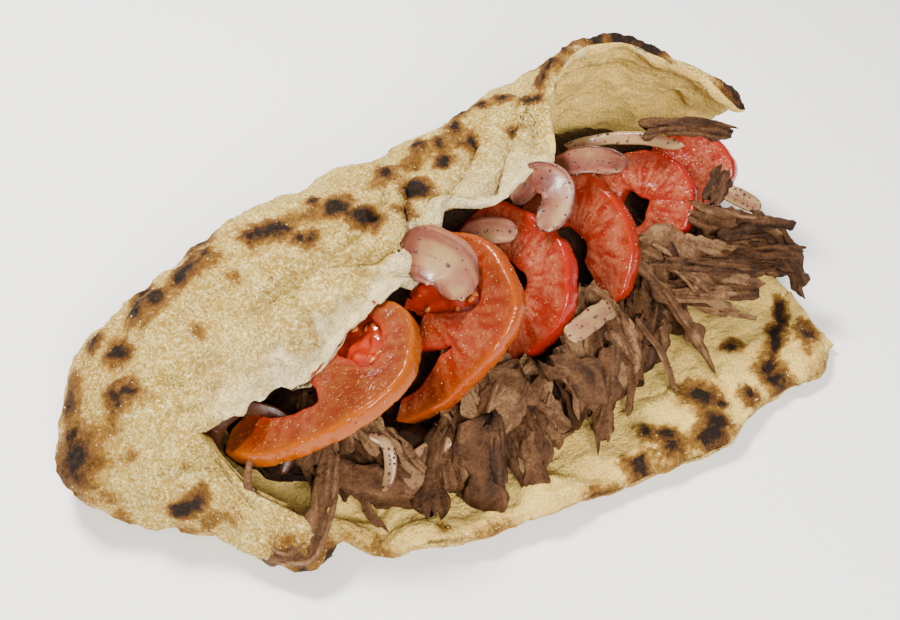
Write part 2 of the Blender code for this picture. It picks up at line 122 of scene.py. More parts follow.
def along_line(points, places):
    """Points at these shares of a smooth line through the given points, run on straight past its ends."""
    points = np.array(points, float)
    chord = np.sqrt(np.linalg.norm(np.diff(points, axis=0), axis=1) + 1e-6)
    along = np.concatenate([[0.0], np.cumsum(chord)])
    wanted = np.asarray(places, float) * along[-1]
    line = np.column_stack([rounded_line(along, points[:, k])(wanted) for k in range(points.shape[1])])
    before, after = np.minimum(wanted, 0), np.maximum(wanted - along[-1], 0)
    line += before[:, None] * (points[1] - points[0]) / chord[0]
    line += after[:, None] * (points[-1] - points[-2]) / chord[-1]
    return line


def smooth_step(low, high, x):
    """0 up to low, 1 from high on, and a smooth rise between them."""
    u = np.clip((np.asarray(x, float) - low) / (high - low), 0.0, 1.0)
    return u * u * (3 - 2 * u)


def unit(vectors):
    """The vectors, each made one long."""
    length = np.linalg.norm(vectors, axis=-1, keepdims=True)
    return vectors / np.maximum(length, 1e-9)


# ---------------------------------------------------------------- meshes and materials


def make_mesh(name, points, faces, look, slot, smooth=True, **attributes):
    """A piece of the object from design points in millimetres, with named values per point."""
    mesh = bpy.data.meshes.new(name)
    placed = (np.asarray(points, float) + CENTRE_SHIFT) * MM
    mesh.from_pydata(placed.tolist(), [], faces if isinstance(faces, list) else faces.tolist())
    mesh.validate()
    for key, values in attributes.items():
        mesh.attributes.new(key, "FLOAT", "POINT").data.foreach_set("value", np.asarray(values, np.float32))
    if smooth:
        mesh.shade_smooth()
    mesh.materials.append(look)
    made = bpy.data.objects.new(name, mesh)
    bpy.context.scene.collection.objects.link(made)
    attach(made, "root")
    return made


def tube_faces(rings, around):
    """Faces of a closed tube of rings, each of so many points around, with a cap at both ends."""
    i = np.arange(rings - 1)[:, None] * around
    j = np.arange(around)[None, :]
    k = (j + 1) % around
    faces = np.stack([i + k, i + around + k, i + around + j, i + j], axis=-1).reshape(-1, 4).tolist()
    faces.append(list(reversed(range(around))))
    faces.append(list(range((rings - 1) * around, rings * around)))
    return faces


class Nodes:
    """Short names for building a material's node tree."""

    def __init__(self, name):
        self.material = bpy.data.materials.new(name)
        self.material.use_nodes = True
        self.tree = self.material.node_tree
        self.shader = self.tree.nodes["Principled BSDF"]

    def add(self, kind, settings=(), **sockets):
        node = self.tree.nodes.new("ShaderNode" + kind)
        for key, value in dict(settings).items():
            setattr(node, key, value)
        for key, value in sockets.items():
            self.put(node.inputs[key.replace("_", " ")], value)
        return node

    def put(self, socket, value):
        if isinstance(value, bpy.types.NodeSocket):
            self.tree.links.new(value, socket)
        elif isinstance(value, tuple) and socket.type == "RGBA":
            socket.default_value = (*value, 1.0)
        else:
            socket.default_value = value

    def place(self):
        """The piece's own coordinates, in metres."""
        return self.add("TexCoord").outputs["Object"]

    def value(self, name):
        """A value that the mesh holds for each point."""
        return self.add("Attribute", {"attribute_name": name}).outputs["Fac"]

    def noise(self, scale, detail=4.0, roughness=0.55):
        """Noise of about 0.5, with so many features to a metre."""
        node = self.add("TexNoise", Scale=scale, Detail=detail, Roughness=roughness, Vector=self.place())
        return node.outputs["Fac"]

    def ramp(self, fac, *stops):
        """A colour ramp through (position, colour or grey) stops."""
        node = self.add("ValToRGB")
        self.put(node.inputs["Fac"], fac)
        items = node.color_ramp.elements
        while len(items) < len(stops):
            items.new(0.5)
        for item, (place, colour) in zip(items, stops):
            item.position = place
            item.color = (*colour, 1.0) if isinstance(colour, tuple) else (colour, colour, colour, 1.0)
        return node.outputs["Color"]

    def mix(self, fac, a, b):
        """Colour a where fac is 0 and colour b where it is 1."""
        node = self.add("Mix", {"data_type": "RGBA"}, Factor=fac, A=a, B=b)
        return node.outputs["Result"]

    def tint(self, base, fac, low, high, colour):
        """The base with a colour laid over it, by two (position, strength) stops of fac."""
        return self.mix(self.ramp(fac, low, high), base, colour)

    def centred(self, fac, strength):
        """A noise brought to about 0, with so much strength."""
        return self.maths("MULTIPLY", self.maths("SUBTRACT", fac, 0.5), strength)

    def maths(self, operation, a, b=0.0, clamp=False):
        node = self.add("Math", {"operation": operation, "use_clamp": clamp})
        self.put(node.inputs[0], a)
        self.put(node.inputs[1], b)
        return node.outputs["Value"]

    def bump(self, height, distance, strength=1.0, normal=None):
        """Relief this many metres deep, on top of an earlier one's normal."""
        node = self.add("Bump", Strength=strength, Distance=distance, Height=height)
        if normal is not None:
            self.put(node.inputs["Normal"], normal)
        return node.outputs["Normal"]

    def surface(self, **sockets):
        for key, value in sockets.items():
            self.put(self.shader.inputs[key.replace("_", " ")], value)
        return self.material


# ---------------------------------------------------------------- bread surface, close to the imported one

BREAD_FROM, BREAD_TO = -119.5, 118.0  # the closed tip and the open end
TIP_ROUND = 20.0  # length over which the closed end rounds off
TIP_MIDDLE = (5.0, 11.0)  # y and z that the closed end shrinks to
FLOOR = 2.8  # height of the sheet's middle where the bread lies flat
MOUTH_FROM = -86.0  # where the two lips part
HOLLOW_FROM = -104.0  # the pocket is solid bread up to here

FRONT_Y = curve(
    (-120, -10), (-112, -12), (-103, -16.5), (-92, -25.5), (-84, -33), (-76, -42), (-67, -48),
    (-46, -58), (-20, -66), (-1, -68), (30, -71.5), (52, -72.5), (70, -68), (84, -65), (104, -65),
    (117, -58),
)
LOWER_LIP_Z = curve(
    (-117, 16), (-99, 22), (-86, 32), (-83, 26), (-78, 20), (-68, 14), (-58, 7), (-50, 4), (117, 4),
)
LOWER_LIP_INSET = curve(
    (-117, 4), (-99, 7), (-86, 20), (-83, 16), (-78, 13), (-68, 10), (-58, 4), (-50, 0), (117, 0),
)
BACK_Y = curve((-117, 38), (-99, 42), (-67, 50), (-17, 55), (60, 56), (85, 55), (100, 49), (117, 37))
RIDGE_Y = curve(
    (-117, 26), (-99, 29), (-67, 34), (-17, 38), (20, 42), (40, 46), (58, 52), (78, 50), (100, 41),
    (117, 27),
)
RIDGE_Z = curve(
    (-117, 29), (-99, 35), (-67, 50), (-17, 57), (20, 59), (58, 61), (78, 60), (100, 52), (117, 43),
)
UPPER_LIP_Y = curve(
    (-85, -13), (-67, -9), (-46, -6), (-17, -4), (0, 8), (20, 8), (38, 13), (50, 25), (62, 35),
    (72, 39), (86, 36), (102, 25), (117, 9),
)
UPPER_LIP_Z = curve(
    (-85, 33), (-67, 34), (-46, 40), (-17, 47), (0, 51), (20, 58), (38, 63), (50, 67), (66, 75),
    (80, 77), (96, 72), (117, 57),
)
# how far the flap domes between ridge and lip
CROWN = curve((-117, 4), (-17, 5), (38, 3), (58, 1), (117, 2))

THICKNESS = 5.6
LIP_THINNING = 1.9  # how much of half the thickness the torn lip loses
RIM_ROUNDING = 2.6
PEEL_DEPTH = 0.9  # how deep the peeled zone along the torn lip lies
LIP_CLEARANCE = 1.7  # between the lip's middle line and the slices under it
LOBE_AT, LOBE_REACH, LOBE_WIDTH = -73.0, 8.0, 7.5  # the torn lobe on the front rim
END_FLARE = 13.0  # how far the fold reaches past the flap at the open end
BREAD_ACROSS = 181
BREAD_STEP = 1.2  # between stations along the bread


def bread_section(x, across):
    """The sheet's middle line at x, from the lower lip round the back fold to the upper lip."""
    front = FRONT_Y(x) - LOBE_REACH * math.exp(-(((x - LOBE_AT) / LOBE_WIDTH) ** 2))
    back, ridge_y, ridge_z = BACK_Y(x), RIDGE_Y(x), RIDGE_Z(x)
    low = np.array([front + LOWER_LIP_INSET(x), LOWER_LIP_Z(x)])
    high = low if x <= MOUTH_FROM else np.array([UPPER_LIP_Y(x), UPPER_LIP_Z(x)])
    wall = min(max((low[1] - 4) / 20, 0), 1)  # 1 where the front rises as a wall, 0 where it lies flat
    ridge = np.array([ridge_y, ridge_z])
    points = [
        low,
        (front + 12 * (1 - wall), FLOOR + 0.25 * (low[1] - 4)),
        (front + (0.35 - 0.12 * wall) * (back - front), FLOOR),
        (back - 0.39 * ridge_z, FLOOR),
        (back, 0.42 * ridge_z),
        (back - 0.05 * ridge_z, 0.75 * ridge_z),
        ridge,
        (ridge + high) / 2 + (0, CROWN(x)),
        high,
    ]
    line = along_line(points, across)
    line[:, 1] = np.maximum(line[:, 1], FLOOR)
    taper = math.sqrt(max(1 - max((BREAD_FROM + TIP_ROUND - x) / TIP_ROUND, 0) ** 2, 0))
    middle = np.array(TIP_MIDDLE)
    return middle + (line - middle) * max(taper, 0.05)


def end_reach(x, across):
    """X of the sheet at station x: the fold reaches past both lips at the open end."""
    bulge = np.sin(np.pi * np.clip((across - 0.3) / 0.7, 0, 1)) * END_FLARE
    tuck = -4 * np.clip((0.3 - across) / 0.3, 0, 1) + 2 * across
    return x + smooth_step(60, BREAD_TO, x) * (bulge + tuck)


def sheet_points(x, across):
    """Points of the sheet's middle surface at station x and these shares across."""
    across = np.atleast_1d(np.asarray(across, float))
    return np.column_stack([end_reach(x, np.clip(across, 0, 1)), bread_section(x, across)])


def sheet_line(route, step=1.0):
    """Points on the sheet's middle surface along a route of (x, across) places."""
    route = np.array(route, float)
    if len(route) == 1:
        return sheet_points(route[0, 0], route[0, 1])
    along, over = np.abs(np.diff(route, axis=0)).sum(axis=0)
    count = int(along / step + 20 * over / step) + 2
    places = np.linspace(0, len(route) - 1, count)
    xs = np.interp(places, range(len(route)), route[:, 0])
    shares = np.interp(places, range(len(route)), route[:, 1])
    return np.concatenate([sheet_points(x, t) for x, t in zip(xs, shares)])


# Char, browning, creases and puffs, as routes of (station, share across) places with sizes in millimetres.
# Shares run from 0 at the front rim, under the filling and up the back, to 1 at the torn upper lip.
OUTER_CHAR = [
    ([(-116, 0.87)], 8.6), ([(-112, 0.74)], 4.7), ([(-115, 0.80)], 3.4), ([(-100, 0.72)], 3.4),
    ([(-96, 0.78)], 4.2), ([(-100, 0.85), (-98, 0.855)], 4.4), ([(-86, 0.77)], 4.4),
    ([(-82, 0.73)], 3.4), ([(-80, 0.772)], 4.2), ([(-72, 0.77), (-69, 0.765)], 4.2),
    ([(-64, 0.758)], 3.4), ([(-50, 0.797), (-46, 0.80)], 3.6), ([(-42, 0.812)], 3.0),
    ([(-38, 0.848), (-36, 0.85)], 3.4), ([(-26, 0.828), (-23, 0.838)], 2.4),
    ([(-21, 0.862), (-17, 0.87)], 2.2), ([(-16, 0.885)], 2.8), ([(-29, 0.80)], 2.4),
    ([(-4, 0.838)], 3.2), ([(-2, 0.888), (2, 0.91)], 2.8), ([(-5, 0.928)], 3.0), ([(10, 0.828)], 3.2),
    ([(15, 0.84)], 2.4), ([(14, 0.872)], 2.8), ([(24, 0.87)], 3.4), ([(24, 0.83)], 2.8),
    ([(29, 0.80), (31, 0.80)], 3.2), ([(37, 0.82)], 2.8), ([(44, 0.86)], 3.0),
    ([(38, 0.915), (39, 0.93)], 1.7), ([(49, 0.93), (52, 0.96)], 2.8), ([(57, 0.96), (63, 0.98)], 2.8),
    ([(68, 0.985)], 2.4), ([(73, 0.97), (78, 0.98)], 3.4), ([(68, 0.83)], 3.8),
    ([(84, 0.985), (90, 0.98), (95, 0.97)], 4.6), ([(-62, 0.70)], 4.7), ([(-30, 0.66)], 4.4),
    ([(8, 0.70)], 3.6), ([(40, 0.62)], 4.6), ([(78, 0.66)], 4.2), ([(-92, 0.60)], 5.2),
    ([(-10, 0.55)], 4.2), ([(60, 0.50)], 4.4), ([(-50, 0.45)], 4.8), ([(20, 0.40)], 5.0),
    ([(90, 0.42)], 4.4), ([(-80, 0.35)], 6.0), ([(-20, 0.25)], 5.0), ([(50, 0.22)], 4.6),
    ([(113, 0.96), (117, 0.93), (118, 0.99)], 5.6), ([(116, 0.82)], 5.0),
    ([(-97, 0.065), (-91, 0.07)], 3.4), ([(-68, 0.075)], 2.4), ([(-74, 0.10)], 2.6),
    ([(-55, 0.66), (-52, 0.65)], 2.6), ([(-46, 0.685)], 2.0), ([(14, 0.655), (18, 0.66)], 2.4),
    ([(24, 0.69)], 1.8), ([(48, 0.585)], 2.4), ([(-84, 0.56)], 2.2), ([(-4, 0.52)], 2.0),
    ([(68, 0.46), (71, 0.45)], 2.6), ([(-40, 0.44)], 2.4), ([(86, 0.62)], 2.2),
    ([(-68, 0.52), (-64, 0.52)], 3.4), ([(30, 0.50)], 2.6), ([(100, 0.56), (104, 0.57)], 3.2),
]
OUTER_TOAST = [
    ([(-106, 0.88)], 3.0), ([(-104, 0.95)], 3.0), ([(-76, 0.87)], 3.6), ([(-60, 0.82)], 3.0),
    ([(-112, 0.02)], 3.4), ([(-110, 0.10)], 3.6), ([(-86, 0.80), (-60, 0.78)], 2.6),
    ([(-50, 0.80), (-20, 0.83)], 3.4), ([(-10, 0.84), (20, 0.84)], 3.0),
    ([(-118, 0.80), (-108, 0.72)], 3.4), ([(60, 0.83), (96, 0.96)], 4.0),
    ([(-98, 0.12), (-86, 0.10)], 3.0), ([(-77, 0.07), (-68, 0.06)], 5.0),
    ([(-76, 0.11), (-70, 0.11)], 4.0), ([(-72, 0.64), (-40, 0.62)], 4.0),
    ([(0, 0.62), (40, 0.67)], 4.4), ([(58, 0.60), (84, 0.54)], 4.0), ([(-24, 0.42), (30, 0.46)], 4.4),
    ([(-90, 0.50), (-60, 0.48)], 4.0),
]
INNER_CHAR = [
    ([(58, 0.105), (59, 0.115)], 6.0), ([(54, 0.025), (56, 0.04)], 5.2), ([(26, 0.022)], 4.8),
    ([(38, 0.03)], 4.4), ([(34, 0.09)], 3.0), ([(40, 0.08)], 3.6), ([(110, 0.10)], 4.6),
    ([(86, 0.03)], 5.0), ([(72, 0.035)], 3.4), ([(82, 0.15)], 3.0), ([(56, 0.03), (48, 0.012)], 2.4),
    ([(112, 0.20), (106, 0.17), (100, 0.15)], 2.2), ([(100, 0.15), (94, 0.11), (88, 0.075)], 2.0),
    ([(88, 0.075), (84, 0.05)], 3.2), ([(62, 0.07)], 2.4),
]
INNER_TOAST = [
    ([(-54, 0.01)], 3.0), ([(-36, 0.015)], 2.6), ([(10, 0.005)], 3.6),
    ([(-74, 0.01), (-70, 0.02)], 4.6), ([(-74, 0.08)], 3.2), ([(-82, 0.03), (-76, 0.015)], 2.8),
    ([(46, 0.02), (60, 0.10)], 4.2), ([(84, 0.08), (100, 0.14)], 4.4), ([(26, 0.02), (44, 0.04)], 3.6),
    ([(104, 0.05), (113, 0.12)], 4.0),
]
OUTER_CREASES = [  # route, depth, width
    ([(-52, 0.85), (-48, 0.91), (-46, 0.95), (-46, 0.995)], 3.2, 1.8),
    ([(-36, 0.90), (-22, 0.93), (-10, 0.955), (6, 0.975)], 3.4, 2.0),
    ([(44, 0.91), (42, 0.96), (40, 0.995)], 3.2, 1.8),
    ([(-58, 0.895), (-40, 0.90), (-24, 0.885), (-10, 0.87)], 2.6, 2.2),
    ([(-98, 0.95), (-84, 0.97)], 2.0, 1.8), ([(-98, 0.0), (-90, 0.03), (-82, 0.04)], 2.4, 1.8),
    ([(26, 0.88), (14, 0.93), (2, 0.97)], 4.2, 2.2), ([(44, 0.90), (34, 0.94), (22, 0.985)], 4.0, 2.2),
    ([(2, 0.87), (-6, 0.93), (-12, 0.99)], 4.0, 2.2),
    ([(-70, 0.84), (-52, 0.83), (-30, 0.86)], 1.6, 2.6),
    ([(50, 0.88), (46, 0.93), (43, 0.99)], 2.6, 2.0),
    ([(-104, 0.78), (-80, 0.84), (-60, 0.86)], 1.4, 2.6), ([(-106, 0.99), (-100, 0.06)], 1.8, 1.8),
    ([(-94, 0.90), (-84, 0.93), (-76, 0.92)], 1.5, 2.0),
    ([(-30, 0.93), (-22, 0.96), (-20, 0.99)], 1.8, 1.8),
    ([(6, 0.86), (16, 0.90), (30, 0.91)], 1.8, 2.2), ([(-112, 0.93), (-104, 0.97)], 1.4, 2.2),
]
INNER_CREASES = [
    ([(112, 0.20), (106, 0.17), (100, 0.15), (94, 0.11), (88, 0.07)], 2.6, 2.4),
    ([(70, 0.02), (66, 0.09)], 1.2, 2.6), ([(60, 0.75), (66, 0.90)], 2.0, 3.0),
    ([(84, 0.70), (88, 0.86)], 2.0, 3.2), ([(104, 0.72), (108, 0.90)], 1.6, 3.0),
]
OUTER_PUFFS = [  # route, height, width
    ([(44, 0.90), (40, 0.96)], 3.4, 4.2), ([(30, 0.955)], 2.6, 4.0),
    ([(12, 0.91), (4, 0.90)], 2.2, 4.6), ([(-6, 0.955), (-16, 0.965)], 3.0, 4.6),
    ([(-34, 0.95), (-48, 0.96)], 3.0, 5.2), ([(-66, 0.93)], 2.2, 6.0), ([(18, 0.965)], 2.4, 3.6),
    ([(-44, 0.87), (-62, 0.87)], 1.8, 6.0), ([(-98, 0.02)], 2.0, 7.0),
]
INNER_PUFFS = [
    ([(50, 0.86)], 3.4, 5.0), ([(60, 0.80), (66, 0.78)], 3.6, 5.5), ([(76, 0.82)], 3.2, 5.0),
    ([(88, 0.78)], 3.0, 5.5), ([(56, 0.70)], 3.4, 6.0), ([(70, 0.68), (80, 0.67)], 3.0, 5.5),
    ([(96, 0.70)], 2.6, 5.0), ([(68, 0.91), (82, 0.92)], 1.8, 5.5),
    ([(96, 0.09), (100, 0.06)], 3.4, 9.0), ([(104, 0.14)], 2.4, 6.0), ([(76, 0.08)], 2.4, 9.0),
    ([(30, 0.05)], 1.6, 8.0), ([(-6, 0.03)], 1.6, 8.0), ([(-44, 0.03)], 1.6, 7.0),
]


def nearest(points, targets):
    """Distance from each point to the nearest of the targets."""
    best = np.full(len(points), 1e9)
    for target in targets:
        best = np.minimum(best, ((points - target) ** 2).sum(axis=1))
    return np.sqrt(best)


def marks(points, routes, edge, share=1.0):
    """0..1 coverage of soft-edged ragged marks of the given sizes along routes on the sheet."""
    ragged = 1.2 * noise(points, 4.5, 3) + 0.9 * noise(points, 1.9, 4) + 0.5 * noise(points, 0.9, 7)
    cover = np.zeros(len(points))
    for route, size in routes:
        reach = size * share
        away = nearest(points, sheet_line(route)) + ragged * min(size / 3, 1.2)
        cover = np.maximum(cover, 1 - smooth_step(reach * (1 - edge), reach * (1 + edge), away))
    return cover


def crease_depth(points, creases):
    """How deep the creases are, or how high the puffs, at points of the sheet."""
    depth = np.zeros(len(points))
    for route, deep, wide in creases:
        away = nearest(points, sheet_line(route))
        depth = np.maximum(depth, deep * np.exp(-((away / wide) ** 2)))
    return depth


def rim_round(distance, radius):
    """Share of full thickness at a distance in from a rounded rim."""
    return np.sqrt(np.maximum(1 - (1 - np.clip(distance / radius, 0, 1)) ** 2, 0))


def bread_stations():
    """Places along the bread, closest together where its two ends round off."""
    turn = np.linspace(0, math.pi / 2, 16)
    tip = BREAD_FROM + TIP_ROUND * (1 - np.cos(turn))
    end = BREAD_TO - np.array([2.6, 1.7, 1.0, 0.5, 0.15, 0.0])
    count = int((end[0] - tip[-1]) / BREAD_STEP)
    return np.concatenate([tip[:-1], np.linspace(tip[-1], end[0], count), end[1:]])


# where the torn lip reaches further: station, half width, share across
LIP_TONGUES = (
    (-50, 8, 0.036), (-41, 5, 0.020), (-31, 5, 0.020), (-20, 7, 0.026), (3, 6, 0.022), (26, 7, 0.020),
    (44, 7, 0.055),
)


def lip_edge(x):
    """Share across at which the torn upper lip ends at station x."""
    free = smooth_step(MOUTH_FROM, MOUTH_FROM + 8, x)
    torn = free * (1 - smooth_step(50, 60, x))
    spot = np.column_stack([x, 0 * x, 0 * x])
    ragged = 0.010 * noise(spot, 9, 31) + 0.006 * noise(spot, 3.2, 32) + 0.0035 * noise(spot, 1.3, 33)
    tongue = sum(size * np.exp(-(((x - middle) / wide) ** 2)) for middle, wide, size in LIP_TONGUES)
    rest = 0.006 * noise(spot, 12, 34) + 0.003 * noise(spot, 4, 35)
    return 1 + torn * (ragged + tongue) + (1 - torn) * free * rest


def front_edge(x):
    """Share across at which the front rim ends at station x."""
    spot = np.column_stack([x, 0 * x, 0 * x])
    free = smooth_step(-84, -76, x)
    return free * (0.008 * noise(spot, 14, 41) + 0.005 * noise(spot, 5, 42) + 0.002 * noise(spot, 2, 43))


def bread_grids():
    """Stations, shares across, the middle grid, and the numbers of the first open and hollow station."""
    xs = bread_stations()
    share = np.linspace(0, 1, BREAD_ACROSS)
    share = share - 0.45 * np.sin(2 * np.pi * share) / (2 * np.pi)
    low, high = front_edge(xs), lip_edge(xs)
    grid = np.zeros((len(xs), BREAD_ACROSS, 3))
    for i, x in enumerate(xs):
        grid[i] = sheet_points(x, low[i] + (high[i] - low[i]) * share)
    mouth = int(np.searchsorted(xs, MOUTH_FROM, side="right"))
    hollow = int(np.searchsorted(xs, HOLLOW_FROM, side="right"))
    return xs, share, grid, mouth, hollow


def grid_normals(grid, closed_until):
    """Outward normals of the sheet's grid, whose first stations are closed loops."""
    along = np.gradient(grid, axis=0)
    across = np.gradient(grid, axis=1)
    loops = grid[:closed_until]
    wrapped = loops[:, 1] - loops[:, -2]
    across[:closed_until, 0] = wrapped
    across[:closed_until, -1] = wrapped
    return unit(np.cross(across, along))


def arc_from(grid, reverse):
    """Arc length of every grid point from its station's first (or last) column."""
    step = np.linalg.norm(np.diff(grid, axis=1), axis=2)
    if reverse:
        step = step[:, ::-1]
    run = np.concatenate([np.zeros((len(grid), 1)), np.cumsum(step, axis=1)], axis=1)
    return run[:, ::-1] if reverse else run


def drape(grid, weight):
    """The sheet's grid with its torn lip laid over the tomato slices, by weight."""
    grid = grid.copy()
    for piece in TOMATOES.values():
        face, height, away = over_slice(grid, piece)
        short = np.where(height > -9, np.maximum(TOMATO_THICKNESS / 2 + LIP_CLEARANCE - height, 0), 0)
        short = short * (1 - smooth_step(piece.radius, piece.radius * 1.15, away))
        grid += (short * weight)[..., None] * face
    return grid


def make_bread(look):
    """The whole flatbread: two skins of the sheet, closed along its rims, in one closed mesh."""
    xs, share, grid, mouth, hollow = bread_grids()
    rows, columns = grid.shape[:2]
    normal = grid_normals(grid, mouth)
    flat = grid.reshape(-1, 3)
    from_front, from_lip = arc_from(grid, False), arc_from(grid, True)
    opened = smooth_step(MOUTH_FROM - 1, MOUTH_FROM + 10, xs)[:, None]
    end = np.broadcast_to((BREAD_TO - xs)[:, None], (rows, columns))

    def waves(scale, seed, stretch=1.0):
        return noise(flat * stretch, scale, seed).reshape(rows, columns)

    # creases and puffs fold the whole sheet near the torn lip, and are relief on one side elsewhere
    outer_relief = crease_depth(flat, OUTER_PUFFS) - crease_depth(flat, OUTER_CREASES)
    inner_relief = crease_depth(flat, INNER_PUFFS) - crease_depth(flat, INNER_CREASES)
    folded = (np.exp(-((from_lip / 34) ** 2)) * opened).reshape(-1)

    # the whole sheet waves, most near its free rims and its open end
    near_front = np.exp(-from_front / 16) * opened
    near_lip = np.exp(-from_lip / 14) * opened * (xs < 42)[:, None]
    near_end = np.exp(-end / 22) * np.ones_like(from_front)
    wave = waves(26, 1) * 1.5
    wave += waves(12, 2, (1, 0.6, 0.6)) * (0.5 + 1.7 * near_lip + 1.0 * near_front)
    wave += waves(9, 5) * 1.2 * near_end
    on_floor = (flat[:, 2] < 5).reshape(rows, columns) & (from_front > 24)
    wave[on_floor] *= 0.3
    lift = 2.4 * np.exp(-from_front / 9) * (waves(20, 6) + 0.35) * opened
    wave += (outer_relief * folded).reshape(rows, columns)
    grid = grid + normal * wave[..., None]
    grid[..., 2] += np.maximum(lift, -0.4)
    grid = drape(grid, np.exp(-((from_lip / 15) ** 2)) * (opened * (xs < 30)[:, None]))
    normal = grid_normals(grid, mouth)

    # how thick: thin at the torn lip, stout at the lobe, rounded off at every rim
    thin = np.clip(1 - from_lip / 46, 0, 1) ** 1.3 * opened * (1 - 0.6 * smooth_step(30, 60, xs)[:, None])
    half = THICKNESS / 2 - LIP_THINNING * thin
    half = half + 1.4 * np.exp(-from_front / 7) * (opened * (1 - smooth_step(-72, -56, xs))[:, None])
    rim = np.ones_like(half)
    free = (np.arange(rows) >= mouth)[:, None]
    lip_round = rim_round(from_lip, np.maximum(half, 0.5))
    rim = np.where(free, rim_round(from_front, RIM_ROUNDING) * lip_round, rim)
    rim = rim * rim_round(end, RIM_ROUNDING)
    half = half * rim

    outer = (grid + normal * half[..., None]).reshape(-1, 3)
    inner = (grid - normal * half[..., None]).reshape(-1, 3)

    def finish(points, directions, chars, toasts, shaped, seed):
        """One skin of the sheet, moved out along its directions by its relief, and its char and browning."""
        char = marks(flat, chars, 0.6, 0.58)
        halo = marks(flat, chars, 0.6, 1.25)
        toast = np.clip(np.maximum(0.75 * marks(flat, toasts, 0.8, 0.85), 0.95 * halo), 0, 1)
        relief = 1.7 * fractal(points, 13, 2, seed) + 0.8 * fractal(points * (0.6, 1, 1), 4.2, 3, seed + 5)
        pits = np.abs(noise(points, 2.6, seed + 9))
        relief += 0.55 * (pits - 0.3) + 0.22 * noise(points, 1.2, seed + 11)
        relief += 0.8 * halo + 0.5 * char * fractal(points, 1.8, 2, seed + 13)
        relief += shaped
        return points + directions * relief[:, None], char, toast

    # the top layer of the crust has peeled off along the middle of the torn lip
    ragged = 5.0 * waves(10, 61) + 2.2 * waves(3.4, 62) + 0.8 * waves(1.3, 63)
    peel_reach = (16 * smooth_step(-70, -52, xs) * (1 - smooth_step(-8, 12, xs)) - 3)[:, None]
    peeled = (smooth_step(-0.5, 0.6, peel_reach + ragged - from_lip) * opened).reshape(-1)

    # the skins' relief weakens towards the rims
    facing, kept = normal.reshape(-1, 3), np.clip(rim, 0.25, 1).reshape(-1, 1)
    outer, outer_char, outer_toast = finish(
        outer, facing * kept, OUTER_CHAR, OUTER_TOAST, outer_relief * (1 - folded), 50
    )
    outer = outer - facing * (PEEL_DEPTH * peeled * kept[:, 0])[:, None]
    inner, inner_char, inner_toast = finish(inner, -facing * kept, INNER_CHAR, INNER_TOAST, inner_relief, 80)

    # browning along the front rim, and a golden band along the top of the fold
    rim_toast = np.exp(-from_front / 2.0) * smooth_step(-80, -64, xs)[:, None]
    rim_toast = (rim_toast * (0.45 + 0.55 * waves(11, 90))).reshape(-1)
    golden = np.exp(-(((share - 0.80) / 0.06) ** 2))[None, :] * (0.16 + 0.14 * waves(16, 91))
    outer_toast = np.clip(np.maximum(outer_toast, np.maximum(rim_toast, golden.reshape(-1))), 0, 1)
    inner_toast = np.clip(np.maximum(inner_toast, rim_toast), 0, 1)
    torn = np.exp(-from_lip / 7) * opened * (1 - smooth_step(36, 46, xs)[:, None])
    torn = np.maximum(torn.reshape(-1), 0.9 * peeled)

    points = np.concatenate([outer, inner])
    points[:, 2] = np.maximum(points[:, 2], 0.0)
    used, faces = bread_faces(rows, columns, mouth, hollow)
    made = make_mesh(
        "flatbread", points[used], faces, look, "bread",
        char=np.concatenate([outer_char, inner_char])[used],
        toast=np.concatenate([outer_toast, inner_toast])[used],
        inside=np.repeat([0.0, 1.0], rows * columns)[used],
        torn=np.concatenate([torn, torn])[used],
    )
    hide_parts("bread")
    return made


def bread_faces(rows, columns, mouth, hollow):
    """The points in use and the faces of both skins, joined along the rims and capped at the tip."""
    index = np.arange(rows * columns).reshape(rows, columns)
    index[:mouth, -1] = index[:mouth, 0]
    inside = index + rows * columns
    faces = []

    def quads(a, b, c, d):
        faces.append(np.stack([a, b, c, d], axis=-1).reshape(-1, 4))

    quads(index[:-1, :-1], index[:-1, 1:], index[1:, 1:], index[1:, :-1])
    near, far = inside[hollow:-1], inside[hollow + 1 :]
    quads(near[:, :-1], far[:, :-1], far[:, 1:], near[:, 1:])
    for column, turn in ((0, False), (-1, True)):
        a, b = index[mouth - 1 : -1, column], index[mouth:, column]
        c, d = inside[mouth:, column], inside[mouth - 1 : -1, column]
        quads(*((d, c, b, a) if turn else (a, b, c, d)))
    quads(index[-1, :-1], index[-1, 1:], inside[-1, 1:], inside[-1, :-1])
    whole = [tuple(dict.fromkeys(face)) for face in np.concatenate(faces).tolist()]
    whole.append(tuple(reversed(index[0, :-1].tolist())))
    whole.append(tuple(inside[hollow, :-1].tolist()))
    used, renumbered = np.unique(np.concatenate([np.array(face) for face in whole]), return_inverse=True)
    starts = np.cumsum([0] + [len(face) for face in whole])
    return used, [renumbered[a:b].tolist() for a, b in zip(starts[:-1], starts[1:])]


